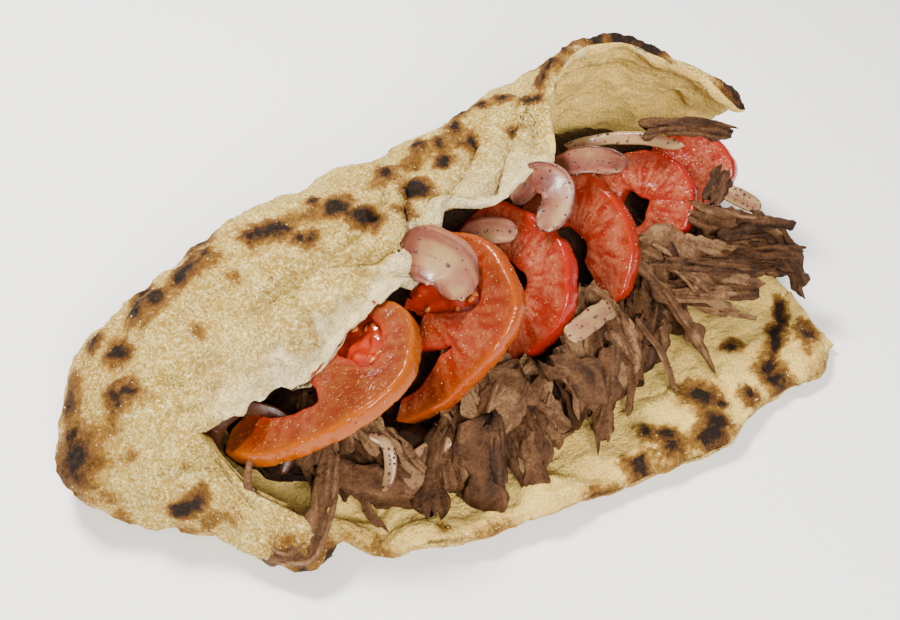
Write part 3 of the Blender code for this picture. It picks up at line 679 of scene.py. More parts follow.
def bread_look():
    """Floury crust, golden inside, pale where torn, browned and charred where the mesh says so."""
    n = Nodes("baked_flatbread")
    soft = n.noise(45, 5, 0.6)
    grain = n.noise(1000, 2, 0.8)
    floury = n.noise(230, 5, 0.75)
    base = n.mix(n.ramp(soft, (0.36, 0.0), (0.66, 1.0)), (0.42, 0.25, 0.035), (0.58, 0.39, 0.075))
    base = n.tint(base, floury, (0.42, 0.0), (0.66, 0.9), (0.70, 0.54, 0.16))
    # the grain's hollows are painted darker as painted shade and its tops paler as painted highlight, over
    # the crust's own speckle; the same grain makes the bump below
    base = n.tint(base, grain, (0.38, 0.7), (0.50, 0.0), (0.34, 0.19, 0.025))
    base = n.tint(base, grain, (0.54, 0.0), (0.66, 0.9), (0.90, 0.78, 0.38))
    inside = n.maths("MULTIPLY", n.value("inside"), 0.78)
    base = n.mix(inside, base, (0.95, 0.64, 0.155))
    torn = n.maths("MULTIPLY", n.value("torn"), n.ramp(floury, (0.3, 0.45), (0.6, 0.85)))
    base = n.mix(torn, base, (0.84, 0.72, 0.42))
    toast = n.maths("ADD", n.value("toast"), n.centred(n.noise(520, 4, 0.75), 1.1), clamp=True)
    toast = n.maths("MULTIPLY", toast, n.ramp(n.value("toast"), (0.0, 0.0), (0.14, 1.0)))
    base = n.tint(base, toast, (0.12, 0.0), (0.62, 0.9), (0.25, 0.105, 0.009))
    base = n.tint(base, toast, (0.50, 0.0), (0.95, 0.92), (0.075, 0.024, 0.003))
    char = n.maths("ADD", n.value("char"), n.centred(n.noise(480, 5, 0.8), 2.3), clamp=True)
    char = n.maths("MULTIPLY", char, n.ramp(n.value("char"), (0.0, 0.0), (0.20, 1.0)))
    base = n.tint(base, char, (0.34, 0.0), (0.90, 1.0), (0.012, 0.005, 0.002))
    bump = n.bump(grain, 0.0012, 1.0)
    bump = n.bump(floury, 0.0024, 1.0, bump)
    return n.surface(Base_Color=base, Roughness=0.78, Normal=bump, Specular_IOR_Level=0.2)


# ---------------------------------------------------------------- flat shapes cut from an outline


def rounded_loop(corners, each=6):
    """A closed smooth line through corner points (rows of 2)."""
    p = np.array(corners, float)
    before, after, beyond = np.roll(p, 1, axis=0), np.roll(p, -1, axis=0), np.roll(p, -2, axis=0)
    u = np.arange(each)[None, :, None] / each
    p, before, after, beyond = (q[:, None, :] for q in (p, before, after, beyond))
    line = 0.5 * (
        2 * p + (after - before) * u + (2 * before - 5 * p + 4 * after - beyond) * u**2
        + (3 * p - before - 3 * after + beyond) * u**3
    )
    return line.reshape(-1, 2)


def outline_distance(places, corners):
    """Signed distance from flat places to a closed outline, negative inside it."""
    best = np.full(len(places), 1e9)
    inside = np.zeros(len(places), bool)
    for start, stop in zip(corners, np.roll(corners, -1, axis=0)):
        edge = stop - start
        away = places - start
        share = np.clip(away @ edge / max(edge @ edge, 1e-12), 0, 1)
        best = np.minimum(best, ((away - share[:, None] * edge) ** 2).sum(axis=1))
        crosses = (start[1] > places[:, 1]) != (stop[1] > places[:, 1])
        rise = edge[1] if abs(edge[1]) > 1e-12 else 1e-12
        inside ^= crosses & (start[0] + edge[0] * (places[:, 1] - start[1]) / rise > places[:, 0])
    return np.where(inside, -1, 1) * np.sqrt(best)


def cut_sheet(distance, reach, cell):
    """Flat vertices, faces and rim edges that cover where distance(places) is below zero."""
    count = int(2 * reach / cell) + 2
    axis = np.linspace(-reach, reach, count)
    places = np.stack(np.meshgrid(axis, axis, indexing="ij"), axis=-1).reshape(-1, 2)
    value = distance(places)
    step = axis[1] - axis[0]
    value = np.where(np.abs(value) < 0.12 * step, -0.12 * step, value).reshape(count, count)
    inside = value < 0
    number = np.full((count, count), -1)
    number[inside] = np.arange(inside.sum())
    flat = [*places[inside.reshape(-1)]]
    corner_inside = np.stack([inside[:-1, :-1], inside[1:, :-1], inside[1:, 1:], inside[:-1, 1:]], axis=-1)
    whole = corner_inside.all(axis=-1)
    i, j = np.nonzero(whole)
    faces = np.stack([number[i, j], number[i + 1, j], number[i + 1, j + 1], number[i, j + 1]], axis=-1)
    faces, rim, crossings = faces.tolist(), [], {}
    for i, j in zip(*np.nonzero(corner_inside.any(axis=-1) & ~whole)):
        corners = ((i, j), (i + 1, j), (i + 1, j + 1), (i, j + 1))
        face, cut = [], []
        for here, there in zip(corners, corners[1:] + corners[:1]):
            if inside[here]:
                face.append(int(number[here]))
            if inside[here] != inside[there]:
                key = tuple(sorted((here, there)))
                if key not in crossings:
                    share = value[here] / (value[here] - value[there])
                    a, b = axis[list(here)], axis[list(there)]
                    crossings[key] = len(flat)
                    flat.append(a + share * (b - a))
                face.append(crossings[key])
                cut.append(len(face) - 1)
        faces.append(face)
        for a in cut:
            b = (a + 1) % len(face)
            if b in cut:
                rim.append((face[a], face[b]))
    return np.array(flat), faces, rim


# ---------------------------------------------------------------- tomato slices

TOMATO_THICKNESS = 5.5
TOMATO_BEVEL = 0.9
TOMATO_CELL, JELLY_CELL = 0.55, 0.6  # between the points of a slice and of its jelly
JELLY_OVERLAP = 0.9  # how far the jelly runs into the flesh round it

# Rims, gaps and cavities are (angle, share of the radius) places: 0 degrees is uphill and positive
# angles turn to the back. Gaps are cut away, cavities keep their jelly, and the slice is also cut
# away between its two missing angles, under the lip.
Slice = namedtuple("Slice", "centre radius lean turn rim gaps cavities missing")
TOMATOES = {
    "tomato_slice_1": Slice(
        centre=(-49, -9, 34), radius=34, lean=31, turn=-35,
        rim=[
            (-176, 0.74), (-160, 0.78), (-149, 0.90), (-141, 1.0), (-135, 1.0), (-115, 0.93),
            (-92, 0.86), (-62, 0.89), (-36, 1.0), (-20, 1.05), (0, 1.0), (20, 0.93), (50, 0.80),
            (80, 0.76), (120, 0.8), (150, 0.9),
        ],
        gaps=[
            [
                (-166, 0.60), (-148, 0.60), (-130, 0.56), (-109, 0.50), (-95, 0.48), (-75, 0.46),
                (-74, 0.30), (-98, 0.15), (170, 0.3), (170, 0.9),
            ],
        ],
        cavities=[
            [
                (-20, 0.60), (-14, 0.69), (9, 0.68), (30, 0.64), (60, 0.62), (72, 0.3), (46, 0.12),
                (13, 0.22), (-12, 0.42),
            ],
        ],
        missing=(-159, 76),
    ),
    "tomato_slice_2": Slice(
        centre=(-12, -8, 38), radius=32, lean=48, turn=2,
        rim=[
            (-170, 1.0), (-150, 1.03), (-135, 0.97), (-114, 0.91), (-76, 0.94), (-56, 1.03),
            (-44, 1.05), (-31, 1.0), (-13, 0.93), (4, 0.88), (27, 0.80), (60, 0.9), (100, 1.0),
            (140, 1.0),
        ],
        gaps=[
            [
                (-150, 0.79), (-134, 0.66), (-118, 0.54), (-108, 0.48), (-98, 0.50), (-89, 0.50),
                (-110, 0.38), (-149, 0.34), (180, 0.36), (165, 0.7), (-175, 0.84),
            ],
        ],
        cavities=[
            [(-45, 0.62), (-29, 0.64), (-11, 0.62), (22, 0.62), (60, 0.62), (110, 0.2), (-51, 0.30)],
        ],
        missing=(-152, 118),
    ),
    "tomato_slice_3": Slice(
        centre=(18, -5, 33), radius=27, lean=53, turn=0,
        rim=[
            (-170, 0.95), (-140, 0.93), (-113, 0.92), (-90, 0.96), (-65, 1.0), (-33, 0.96), (-10, 0.88),
            (10, 0.86), (33, 0.92), (60, 1.06), (100, 1.12), (140, 1.0),
        ],
        gaps=[
            [
                (80, 0.52), (67, 0.46), (40, 0.32), (-3, 0.27), (-44, 0.36), (-76, 0.32), (-95, 0.36),
                (-125, 0.52), (180, 0.5), (130, 0.5),
            ],
        ],
        cavities=[], missing=(-130, 138),
    ),
    "tomato_slice_4": Slice(
        centre=(47, -1, 35), radius=24, lean=58, turn=8,
        rim=[
            (-170, 1.0), (-140, 1.02), (-103, 1.05), (-81, 0.98), (-60, 0.92), (-35, 0.86), (-1, 0.86),
            (30, 0.98), (60, 1.06), (100, 1.08), (140, 1.0),
        ],
        gaps=[
            [
                (100, 0.45), (65, 0.26), (-24, 0.12), (-80, 0.2), (-125, 0.36), (-143, 0.59),
                (180, 0.5), (140, 0.5),
            ],
        ],
        cavities=[], missing=(-116, 135),
    ),
    "tomato_slice_5": Slice(
        centre=(75, 3, 36), radius=19, lean=50, turn=15,
        rim=[
            (-170, 1.0), (-130, 0.98), (-94, 0.97), (-75, 1.0), (-52, 1.04), (-21, 0.99), (10, 0.95),
            (38, 0.95), (70, 1.0), (110, 1.0), (150, 1.0),
        ],
        gaps=[
            [
                (140, 0.5), (118, 0.40), (74, 0.36), (20, 0.14), (-48, 0.20), (-140, 0.34), (-168, 0.5),
                (180, 0.9), (150, 0.9),
            ],
        ],
        cavities=[], missing=(-158, 124),
    ),
    "tomato_slice_6": Slice(
        centre=(98, 9, 33), radius=15.5, lean=50, turn=20,
        rim=[
            (-170, 1.0), (-130, 1.0), (-77, 1.04), (-58, 1.18), (-40, 1.2), (-17, 1.17), (7, 1.08),
            (45, 1.08), (90, 1.0), (140, 1.0),
        ],
        gaps=[
            [
                (140, 0.5), (110, 0.38), (60, 0.34), (0, 0.16), (-60, 0.2), (-140, 0.36), (180, 0.9),
                (150, 0.9),
            ],
        ],
        cavities=[], missing=(-140, 112),
    ),
}

# how red each slice is, and its painted shade: 0 is orange-tan flesh, painted darker as painted shade on the
# flatter slices that face the key light, 1 red
RIPENESS_AND_SHADE = {"1": 0.12, "2": 0.35, "3": 0.95, "4": 0.85, "5": 1.0, "6": 1.0}


def slice_frame(lean, turn):
    """Face normal, uphill and sideways unit vectors of a slice that leans back by lean degrees."""
    tip, swing = math.radians(lean), math.radians(turn)
    face = np.array([-math.sin(tip) * math.cos(swing), -math.sin(tip) * math.sin(swing), math.cos(tip)])
    uphill = np.array([math.cos(tip) * math.cos(swing), math.cos(tip) * math.sin(swing), math.sin(tip)])
    return face, uphill, np.cross(face, uphill)


def over_slice(points, piece):
    """A slice's face normal, and each point's height over the slice and distance from its axis."""
    face = slice_frame(piece.lean, piece.turn)[0]
    away = points - np.array(piece.centre, float)
    height = away @ face
    return face, height, np.linalg.norm(away - height[..., None] * face, axis=-1)


def on_slice(piece, where, height):
    """Points from flat places on a slice and their heights over its middle."""
    face, uphill, sideways = slice_frame(piece.lean, piece.turn)
    centre = np.array(piece.centre, float)
    return centre + where[:, :1] * uphill + where[:, 1:] * sideways + height[:, None] * face


def polar(places, radius):
    """Flat points from (angle, share of the radius) places."""
    a = np.radians([p[0] for p in places])
    r = radius * np.array([p[1] for p in places])
    return np.column_stack([r * np.cos(a), r * np.sin(a)])


def slice_outlines(piece):
    """Flat outlines of a slice's rim, its through cuts (the missing arc last) and its jelly cavities."""
    start, stop = piece.missing
    missing = [(start, 0.0), (start, 1.6), (start - 30, 2.0), (stop + 30, 2.0), (stop, 1.6)]
    gaps = [rounded_loop(polar(gap, piece.radius)) for gap in piece.gaps] + [polar(missing, piece.radius)]
    cavities = [rounded_loop(polar(cavity, piece.radius)) for cavity in piece.cavities]
    return rounded_loop(polar(piece.rim, piece.radius)), gaps, cavities


def plate_heights(inward, half, bevel):
    """Half height of a plate with rounded edges, at a distance in from its rim."""
    u = 1 - np.clip(inward / bevel, 0, 1)
    return half - bevel * (1 - np.sqrt(np.maximum(1 - u * u, 0)))


def plate(flat, faces, rim, top, bottom, place):
    """A closed plate: the flat faces at two heights, set in space by place(flat, height), and a wall."""
    count = len(flat)
    points = np.concatenate([place(flat, top), place(flat, bottom)])
    under = [[v + count for v in reversed(face)] for face in faces]
    walls = [[b, a, a + count, b + count] for a, b in rim]
    return points, faces + under + walls


def make_tomato(name, piece, look, jelly, seed_look):
    """A slice's wet flesh and skin, and what is in its cavities."""
    outline, gaps, cavities = slice_outlines(piece)
    seed = int(name[-1]) * 100

    def distance(places):
        value = outline_distance(places, outline)
        for hole in gaps + cavities:
            value = np.maximum(value, -outline_distance(places, hole))
        spot = np.column_stack([places, np.full(len(places), seed)])
        value = value + 0.35 * noise(spot, 4.0, seed) + 0.15 * noise(spot, 1.6, seed + 1)
        x, y, _ = on_slice(piece, places, np.zeros(len(places))).T
        return np.where(x < 10, np.maximum(value, y - UPPER_LIP_Y(x) - 3), value)

    flat, faces, rim = cut_sheet(distance, piece.radius * 1.25, TOMATO_CELL)
    inward = np.maximum(-distance(flat), 0)
    from_skin = np.maximum(-outline_distance(flat, outline), 0)
    from_cavity = np.full(len(flat), 99.0)
    for hole in gaps[:-1] + cavities:
        from_cavity = np.minimum(from_cavity, np.abs(outline_distance(flat, hole)))
    angle = np.arctan2(flat[:, 1], flat[:, 0])
    reach = np.linalg.norm(flat, axis=1)
    solid_place = np.column_stack([flat, np.full(len(flat), seed)])
    streak = noise(np.column_stack([angle * 14, reach / 5, 0 * reach + seed]), 1.0, seed + 2)
    grain = fractal(solid_place, 1.7, 2, seed + 3)
    calm = np.clip(inward / 1.2, 0, 1)
    swell = 0.5 * noise(solid_place, 9, seed + 4) - 0.9 * np.exp(-from_cavity / 1.6)
    swell = swell + 0.35 * np.exp(-((from_cavity - 3) ** 2) / 4)
    heights = plate_heights(inward, TOMATO_THICKNESS / 2, TOMATO_BEVEL)
    top = heights + calm * (0.10 * grain + 0.08 * streak) + swell * calm
    bottom = -heights - calm * 0.2 * grain
    sag = 0.9 * noise(solid_place, 26, seed + 5)

    def place(where, height):
        return on_slice(piece, where, height + sag)

    points, faces = plate(flat, faces, rim, top, bottom, place)
    made = make_mesh(
        name + "_flesh", points, faces, look, "tomato",
        ripe=np.full(2 * len(flat), RIPENESS_AND_SHADE[name[-1]]),
        skin=np.tile(np.exp(-((from_skin / 0.9) ** 2)), 2),
        outer=np.tile(np.exp(-from_skin / 3.5), 2),
        wet=np.tile(np.exp(-from_cavity / 2.2), 2),
        streak=np.tile(streak, 2),
    )
    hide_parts(name)
    rng = random.Random(seed)
    for number, cavity in enumerate(cavities):
        make_jelly(f"{name}_jelly_{number + 1}", piece, cavity, jelly, seed_look, rng, seed + 20)
    return made


def make_jelly(name, piece, cavity, jelly, seed_look, rng, seed):
    """The wet jelly left in a cavity, lumpy with the seeds under its surface."""
    face, uphill, sideways = slice_frame(piece.lean, piece.turn)

    def distance(places):
        return outline_distance(places, cavity) - JELLY_OVERLAP

    flat, faces, rim = cut_sheet(distance, piece.radius * 1.25, JELLY_CELL)
    low, high = cavity.min(axis=0), cavity.max(axis=0)
    lumps = []
    while len(lumps) < 16:
        spot = np.array([rng.uniform(low[0], high[0]), rng.uniform(low[1], high[1])])
        if outline_distance(spot[None], cavity)[0] < -0.8:
            lumps.append((spot, rng.uniform(1.2, 2.2)))
    spot = np.column_stack([flat, np.full(len(flat), seed)])
    top = -0.6 + 0.4 * noise(spot, 4, seed)
    for middle, wide in lumps:
        top += 0.8 * np.exp(-(((flat - middle) ** 2).sum(axis=1)) / wide**2)
    top = np.minimum(top, 1.6)

    def place(where, height):
        return on_slice(piece, where, height)

    points, faces = plate(flat, faces, rim, top, np.full(len(flat), -2.0), place)
    make_mesh(name, points, faces, jelly, "tomato")
    seeds = Gathered()
    for middle, wide in lumps[:9]:
        angle = rng.uniform(0, math.pi)
        a = uphill * math.cos(angle) + sideways * math.sin(angle)
        b = np.cross(face, a)
        middle = on_slice(piece, middle[None], np.array([0.1]))[0]
        seeds.blob(middle, a * 1.4, b * 0.9, face * 0.5, 10, 6)
    seeds.make(name + "_seeds", seed_look, "tomato")


# ---------------------------------------------------------------- many small shapes in one piece

TOWARDS = (-0.35, -0.61, 0.71)  # the flat sides of the loose pieces look to the front and up


class Gathered:
    """Small closed shapes and their values per point, gathered into one piece."""

    def __init__(self):
        self.points, self.faces, self.values, self.count = [], [], {}, 0

    def add(self, points, faces, **values):
        self.points.append(points)
        self.faces.extend([[v + self.count for v in face] for face in faces])
        self.count += len(points)
        for key, value in values.items():
            self.values.setdefault(key, []).append(np.broadcast_to(value, len(points)))

    def blob(self, centre, a, b, c, around, levels, **values):
        """An ellipsoid with these half axes."""
        points = [centre + c]
        for level in range(1, levels):
            fall = math.pi * level / levels
            for k in range(around):
                turn = 2 * math.pi * k / around
                points.append(
                    centre + c * math.cos(fall) + (a * math.cos(turn) + b * math.sin(turn)) * math.sin(fall)
                )
        points.append(centre - c)
        faces = [[0, 1 + k, 1 + (k + 1) % around] for k in range(around)]
        for level in range(levels - 2):
            p, q = 1 + level * around, 1 + (level + 1) * around
            faces += [[p + k, q + k, q + (k + 1) % around, p + (k + 1) % around] for k in range(around)]
        last = len(points) - 1
        faces += [[last - around + k, last, last - around + (k + 1) % around] for k in range(around)]
        self.add(np.array(points), faces, **values)

    def make(self, name, look, slot):
        values = {key: np.concatenate(value) for key, value in self.values.items()}
        return make_mesh(name, np.concatenate(self.points), self.faces, look, slot, **values)


def scatter(name, sources, count, small, large, flat, look, slot, seed):
    """Tiny irregular grains on the upward, unburnt faces of other pieces, flat being height over width."""
    rng = np.random.default_rng(seed)
    centres, normals = [], []
    for source in sources:
        mesh = source.data
        centre, normal = np.empty(len(mesh.polygons) * 3), np.empty(len(mesh.polygons) * 3)
        mesh.polygons.foreach_get("center", centre)
        mesh.polygons.foreach_get("normal", normal)
        area = np.empty(len(mesh.polygons))
        mesh.polygons.foreach_get("area", area)
        centre, normal = centre.reshape(-1, 3) / MM - CENTRE_SHIFT, normal.reshape(-1, 3)
        share = area * (normal @ np.array(TOWARDS) > 0.15)
        if "char" in mesh.attributes:
            starts, corner = np.empty(len(area), np.int32), np.empty(len(mesh.loops), np.int32)
            burnt = np.empty(len(mesh.vertices), np.float32)
            mesh.polygons.foreach_get("loop_start", starts)
            mesh.loops.foreach_get("vertex_index", corner)
            mesh.attributes["char"].data.foreach_get("value", burnt)
            share = share * (burnt[corner[starts]] < 0.1)
        picks = rng.choice(len(area), int(count / len(sources)), p=share / share.sum())
        centres.append(centre[picks] + rng.normal(0, 0.25, (len(picks), 3)) * (1 - np.abs(normal[picks])))
        normals.append(normal[picks])
    centres, normals = np.concatenate(centres), np.concatenate(normals)
    size = rng.uniform(small, large, (len(centres), 1)) * rng.uniform(0.6, 1.0, (len(centres), 1))
    a = unit(np.cross(normals, rng.normal(0, 1, normals.shape)))
    b = np.cross(normals, a)
    jitter = rng.uniform(0.7, 1.3, (6, len(centres), 1))
    up = size * flat * normals
    corners = [
        centres + up * jitter[0], centres + size * a * jitter[1], centres + size * b * jitter[2],
        centres - size * a * jitter[3], centres - size * b * jitter[4], centres - up * 0.8,
    ]
    points = np.stack(corners, axis=1).reshape(-1, 3)
    sides = ((1, 2), (2, 3), (3, 4), (4, 1))
    faces = np.array([(0, p, q) for p, q in sides] + [(5, q, p) for p, q in sides])
    faces = (faces[None] + 6 * np.arange(len(centres))[:, None, None]).reshape(-1, 3)
    return make_mesh(name, points, faces, look, slot, smooth=False)


# ---------------------------------------------------------------- ribbons: shreds and slivers


def ribbon(route, width, thick, facing, seed, **shape):
    """A closed torn band along a route, with values of fibre, edge and place along it for each point.

    shape may hold: step and around (how fine it is), cup (how far its edges curl), twist (degrees),
    fray and ridges (how torn and ribbed), end (share of the width left at its ends), round (how
    blunt they are), square (how box-like its section is) and wave.
    """
    step, around = shape.get("step", 0.9), shape.get("around", 20)
    cup, twist = shape.get("cup", 0.0), math.radians(shape.get("twist", 0.0))
    fray, ridges, round_power = shape.get("fray", 0.0), shape.get("ridges", 0.0), shape.get("round", 5)
    end, wave, square = shape.get("end", 0.5), shape.get("wave", 0.0), shape.get("square", 0.75)
    route = np.array(route, float)
    length = np.linalg.norm(np.diff(route, axis=0), axis=1).sum()
    count = max(int(length / step), 6)
    line = along_line(route, np.linspace(0, 1, count))
    along = unit(np.gradient(line, axis=0))
    facing = np.array(facing, float)
    out = unit(facing - along * (along @ facing)[:, None])
    across = unit(np.cross(out, along))
    u = np.linspace(-1, 1, count)
    turn = twist * u
    across, out = (
        across * np.cos(turn)[:, None] + out * np.sin(turn)[:, None],
        out * np.cos(turn)[:, None] - across * np.sin(turn)[:, None],
    )
    spot = np.column_stack([u * length / 2, np.zeros(count), np.full(count, seed * 3.7)])
    line = line + out * (wave * noise(spot, 7, seed))[:, None]
    line = line + across * (wave * noise(spot, 9, seed + 1))[:, None]
    body = end + (1 - end) * (1 - np.abs(u) ** round_power) ** 0.5
    uneven = 1 + 0.3 * fray * noise(spot, 4.5, seed + 2) + 0.12 * fray * noise(spot, 1.6, seed + 3)
    widths = width * body * uneven
    thicks = thick * (0.45 + 0.55 * body) * (1 + 0.25 * noise(spot, 6, seed + 4))
    angle = np.arange(around) * 2 * math.pi / around + math.pi / around
    wide = np.sign(np.cos(angle)) * np.abs(np.cos(angle)) ** square
    deep = np.sign(np.sin(angle)) * np.abs(np.sin(angle)) ** square
    sideways = widths[:, None] / 2 * wide[None, :]
    lengthways = np.broadcast_to(spot[:, :1] / 14, sideways.shape)
    grain = np.stack([sideways / 1.1, lengthways, np.full(sideways.shape, seed * 1.9)], axis=-1)
    fibre = noise(grain, 1.0, seed + 5) * 0.7 + noise(grain * (2.1, 1.6, 1), 1.0, seed + 6) * 0.4
    upward = thicks[:, None] / 2 * deep[None, :] * (1 + 0.2 * fibre) + ridges * fibre * np.abs(deep)[None, :]
    upward = upward + cup * (wide[None, :] ** 2) * width / 2
    tip = np.clip((np.abs(u) - 0.72) / 0.28, 0, 1) ** 1.5 * np.sign(u)
    torn = noise(np.stack([wide * width / 2, 0 * wide, 0 * wide + seed], axis=-1), 1.5, seed + 7)
    drawn = tip[:, None] * torn[None, :] * fray * 2.6
    points = (
        line[:, None] + across[:, None] * sideways[..., None] + out[:, None] * upward[..., None]
        + along[:, None] * drawn[..., None]
    ).reshape(-1, 3)
    edge = np.broadcast_to(np.abs(wide)[None, :] ** 6, sideways.shape).reshape(-1)
    station = np.broadcast_to(u[:, None], sideways.shape).reshape(-1)
    return points, tube_faces(count, around), fibre.reshape(-1), edge, station


# ---------------------------------------------------------------- meat


MEAT_STRIPS = {  # route, width, thickness, tone from dark (0) to pale (1)
    "meat_strip_1": (((55, -22, 38), (60, -31, 30), (65, -39, 20), (68, -47, 10)), 5, 3.4, 0.55),
    "meat_strip_2": (
        (
            (-56, -30, 26), (-61, -36, 22), (-65.5, -41, 18.5), (-70, -45.5, 14.5), (-77, -46, 10.5),
            (-85, -36, 9),
        ),
        8, 2.6, 0.66,
    ),
    "meat_strip_3": (((-59, -31, 20), (-48, -39, 15), (-37, -46, 10)), 10, 3.6, 0.6),
    "meat_strip_4": (((-25, -38, 23), (-31, -43, 16), (-36, -52, 9)), 9, 4.0, 0.35),
    "meat_strip_5": (((-14, -43, 26), (-18, -50, 18), (-22, -58, 9)), 12, 4.0, 0.42),
    "meat_strip_6": (((1, -46, 22), (-2, -53, 16), (-6, -60, 9)), 8, 3.4, 0.5),
    "meat_strip_7": (((3, -37, 31), (-4, -40, 28), (-11, -44, 22)), 13, 4.5, 0.6),
    "meat_strip_8": (((13, -37, 33), (19, -44, 28), (20, -50, 19)), 12, 4.5, 0.55),
    "meat_strip_9": (((33, -40, 32), (26, -48, 24), (19, -57, 10)), 7, 4.0, 0.5),
    "meat_strip_10": (((60, -16, 41), (70, -22, 36), (76, -31, 28)), 11, 4.5, 0.7),
    "meat_strip_11": (((82, -13, 42), (95, -19, 36), (110, -25, 28)), 10, 4.5, 0.65),
    "meat_strip_12": (((74, -24, 31), (92, -27, 27), (112, -31, 19)), 9, 4.0, 0.5),
    "meat_strip_13": (((106, -19, 36), (112, -29, 26), (115, -39, 12)), 7, 3.6, 0.3),
    "meat_strip_14": (((78, 11, 60), (91, 4, 61), (104, -2, 58)), 6, 3.0, 0.5),
    "meat_strip_15": (((84, -18, 50), (93, -13, 53)), 7, 3.0, 0.4),
}

HEAP_FROM, HEAP_TO = -80.0, 104.0
HEAP_FOOT_Y = curve(
    (-80, -16), (-70, -25), (-46, -40), (-20, -54), (10, -52), (40, -44), (60, -34), (80, -25),
    (104, -23),
)
HEAP_TOP_Z = curve((-80, 18), (-60, 24), (-30, 34), (10, 40), (50, 44), (90, 40), (104, 34))
HEAP_TOP_Y = curve((-80, -4), (-60, -6), (-20, -16), (10, -18), (50, -14), (104, -10))
HEAP_SINK = 3.4  # how far the core lies inside the heap's outline, to leave room for the shreds


def heap_front(x, places):
    """Points of the heap's front at station x, from under the fold (0) to the foot (1)."""
    foot, top_y, top_z = HEAP_FOOT_Y(x) + 4.5, HEAP_TOP_Y(x), HEAP_TOP_Z(x)
    line = [
        (top_y + 10, top_z + 3), (top_y, top_z), (top_y - 9, top_z - 5), (foot + 5, 4 + 0.5 * (top_z - 4)),
        (foot - 1.5, 4 + 0.26 * (top_z - 4)), (foot + 1, 5),
    ]
    yz = along_line(line, places)
    return np.column_stack([np.full(len(yz), x), yz])


def under_tomatoes(points):
    """The points with those in or over a tomato slice pushed down behind it."""
    points = points.copy()
    for piece in TOMATOES.values():
        face, height, away = over_slice(points, piece)
        over = np.maximum(height + 5.5, 0) * (height < 26)
        over = over * (1 - smooth_step(piece.radius * 0.98, piece.radius * 1.15, away))
        points -= over[:, None] * face
    points[:, 2] = np.maximum(points[:, 2], 6)
    return points


def make_core(look):
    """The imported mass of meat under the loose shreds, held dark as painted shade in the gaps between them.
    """
    rows, front, back = 150, 70, 26
    grid = np.zeros((rows, front + back, 3))
    for i, x in enumerate(np.linspace(HEAP_FROM, HEAP_TO, rows)):
        near_end = min((x - HEAP_FROM) / 9, (HEAP_TO - x) / 9, 1)
        swell = 0.4 + 0.6 * math.sqrt(max(1 - (1 - near_end) ** 2, 0))
        forward = heap_front(x, np.linspace(0, 1, front))
        round_the_back = [
            forward[-1, 1:], (10, 6.5), (0.55 * BACK_Y(x), 8), (BACK_Y(x) - 9, 20),
            (RIDGE_Y(x) - 8, RIDGE_Z(x) - 14), (0.4 * RIDGE_Y(x) + 4, HEAP_TOP_Z(x) + 4), forward[0, 1:],
        ]
        behind = along_line(round_the_back, np.linspace(0, 1, back + 2))[1:-1]
        loop = np.concatenate([forward, np.column_stack([np.full(back, x), behind])])
        middle = loop.mean(axis=0)
        grid[i] = middle + (loop - middle) * (1, swell, swell)
    along = np.gradient(grid, axis=0)
    around = np.roll(grid, -1, axis=1) - np.roll(grid, 1, axis=1)
    normal = unit(np.cross(around, along))
    flat = grid.reshape(-1, 3)
    relief = 1.4 * fractal(flat * (1, 0.45, 0.45), 5, 3, 200) - HEAP_SINK
    points = under_tomatoes(flat + normal.reshape(-1, 3) * relief[:, None])
    # the core's low tone is painted shade: it shows dark in the gaps between the shreds over it
    made = make_mesh(
        "meat_core", points, tube_faces(rows, front + back), look, "meat",
        fibre=0.6 * noise(flat * (1, 0.3, 0.3), 1.6, 210), tone=np.full(len(flat), 0.1),
    )
    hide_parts("meat_heap")


def hits_tomato(points):
    """Whether any of the points lies in or against a tomato slice."""
    for piece in TOMATOES.values():
        _, height, away = over_slice(points, piece)
        if ((height > -4.4) & (away < piece.radius * 1.05) & (height < 12)).any():
            return True
    return False


def add_shred(heap, route, width, thick, tone, seed, facing=TOWARDS):
    """One torn strip: a ribbed band with thinner fibre bundles along it that end unevenly."""
    rng = random.Random(seed)
    shade = tone + rng.uniform(-0.06, 0.06)
    points, faces, fibre, _, _ = ribbon(
        route, width, thick, facing, seed, fray=1.5, ridges=0.5, cup=rng.uniform(-0.12, 0.12),
        twist=rng.uniform(-22, 22), wave=0.7, end=0.55, around=26, step=0.8,
    )
    heap.add(points, faces, fibre=fibre, tone=shade)
    route = np.array(route, float)
    facing = np.array(facing, float)
    line_along = unit(route[-1] - route[0])
    side = unit(np.cross(facing, line_along))
    for k in range(max(2, int(width / 3.4))):
        offset = rng.uniform(-0.48, 0.48) * width
        lift = rng.uniform(0.15, 0.55) * thick
        start, stop = rng.uniform(-0.06, 0.3), rng.uniform(0.7, 1.08)
        strand = along_line(route, np.linspace(start, stop, 5))
        drift = rng.uniform(-0.08, 0.08) * width
        strand = strand + side * (offset + drift * np.linspace(-1, 1, 5))[:, None] + facing * lift
        points, faces, fibre, _, _ = ribbon(
            strand, rng.uniform(1.4, 3.6), rng.uniform(0.8, 1.5), facing + rng.uniform(-0.4, 0.4),
            seed * 31 + k, fray=1.2, ridges=0.2, twist=rng.uniform(-50, 50), wave=0.9, end=0.3, around=10,
        )
        heap.add(points, faces, fibre=fibre, tone=shade + rng.uniform(-0.12, 0.14))


# thin strands that hang clear of the heap: route, width, tone
STRANDS = (
    (((-75, -20, 27), (-79, -24.5, 25), (-83, -31, 18), (-87, -34.5, 10), (-88, -34, 5)), 2.2, 0.85),
    (((40, -38, 22), (38, -45, 15), (34, -52, 9)), 2.6, 0.7),
    (((48, -34, 28), (52, -42, 19), (52, -50, 9)), 2.4, 0.75),
    (((-8, -45, 20), (-10, -53, 13), (-9, -61, 7.5)), 2.6, 0.35),
    (((-50, -38, 16), (-52, -44, 11), (-50, -50, 8)), 2.2, 0.5),
)


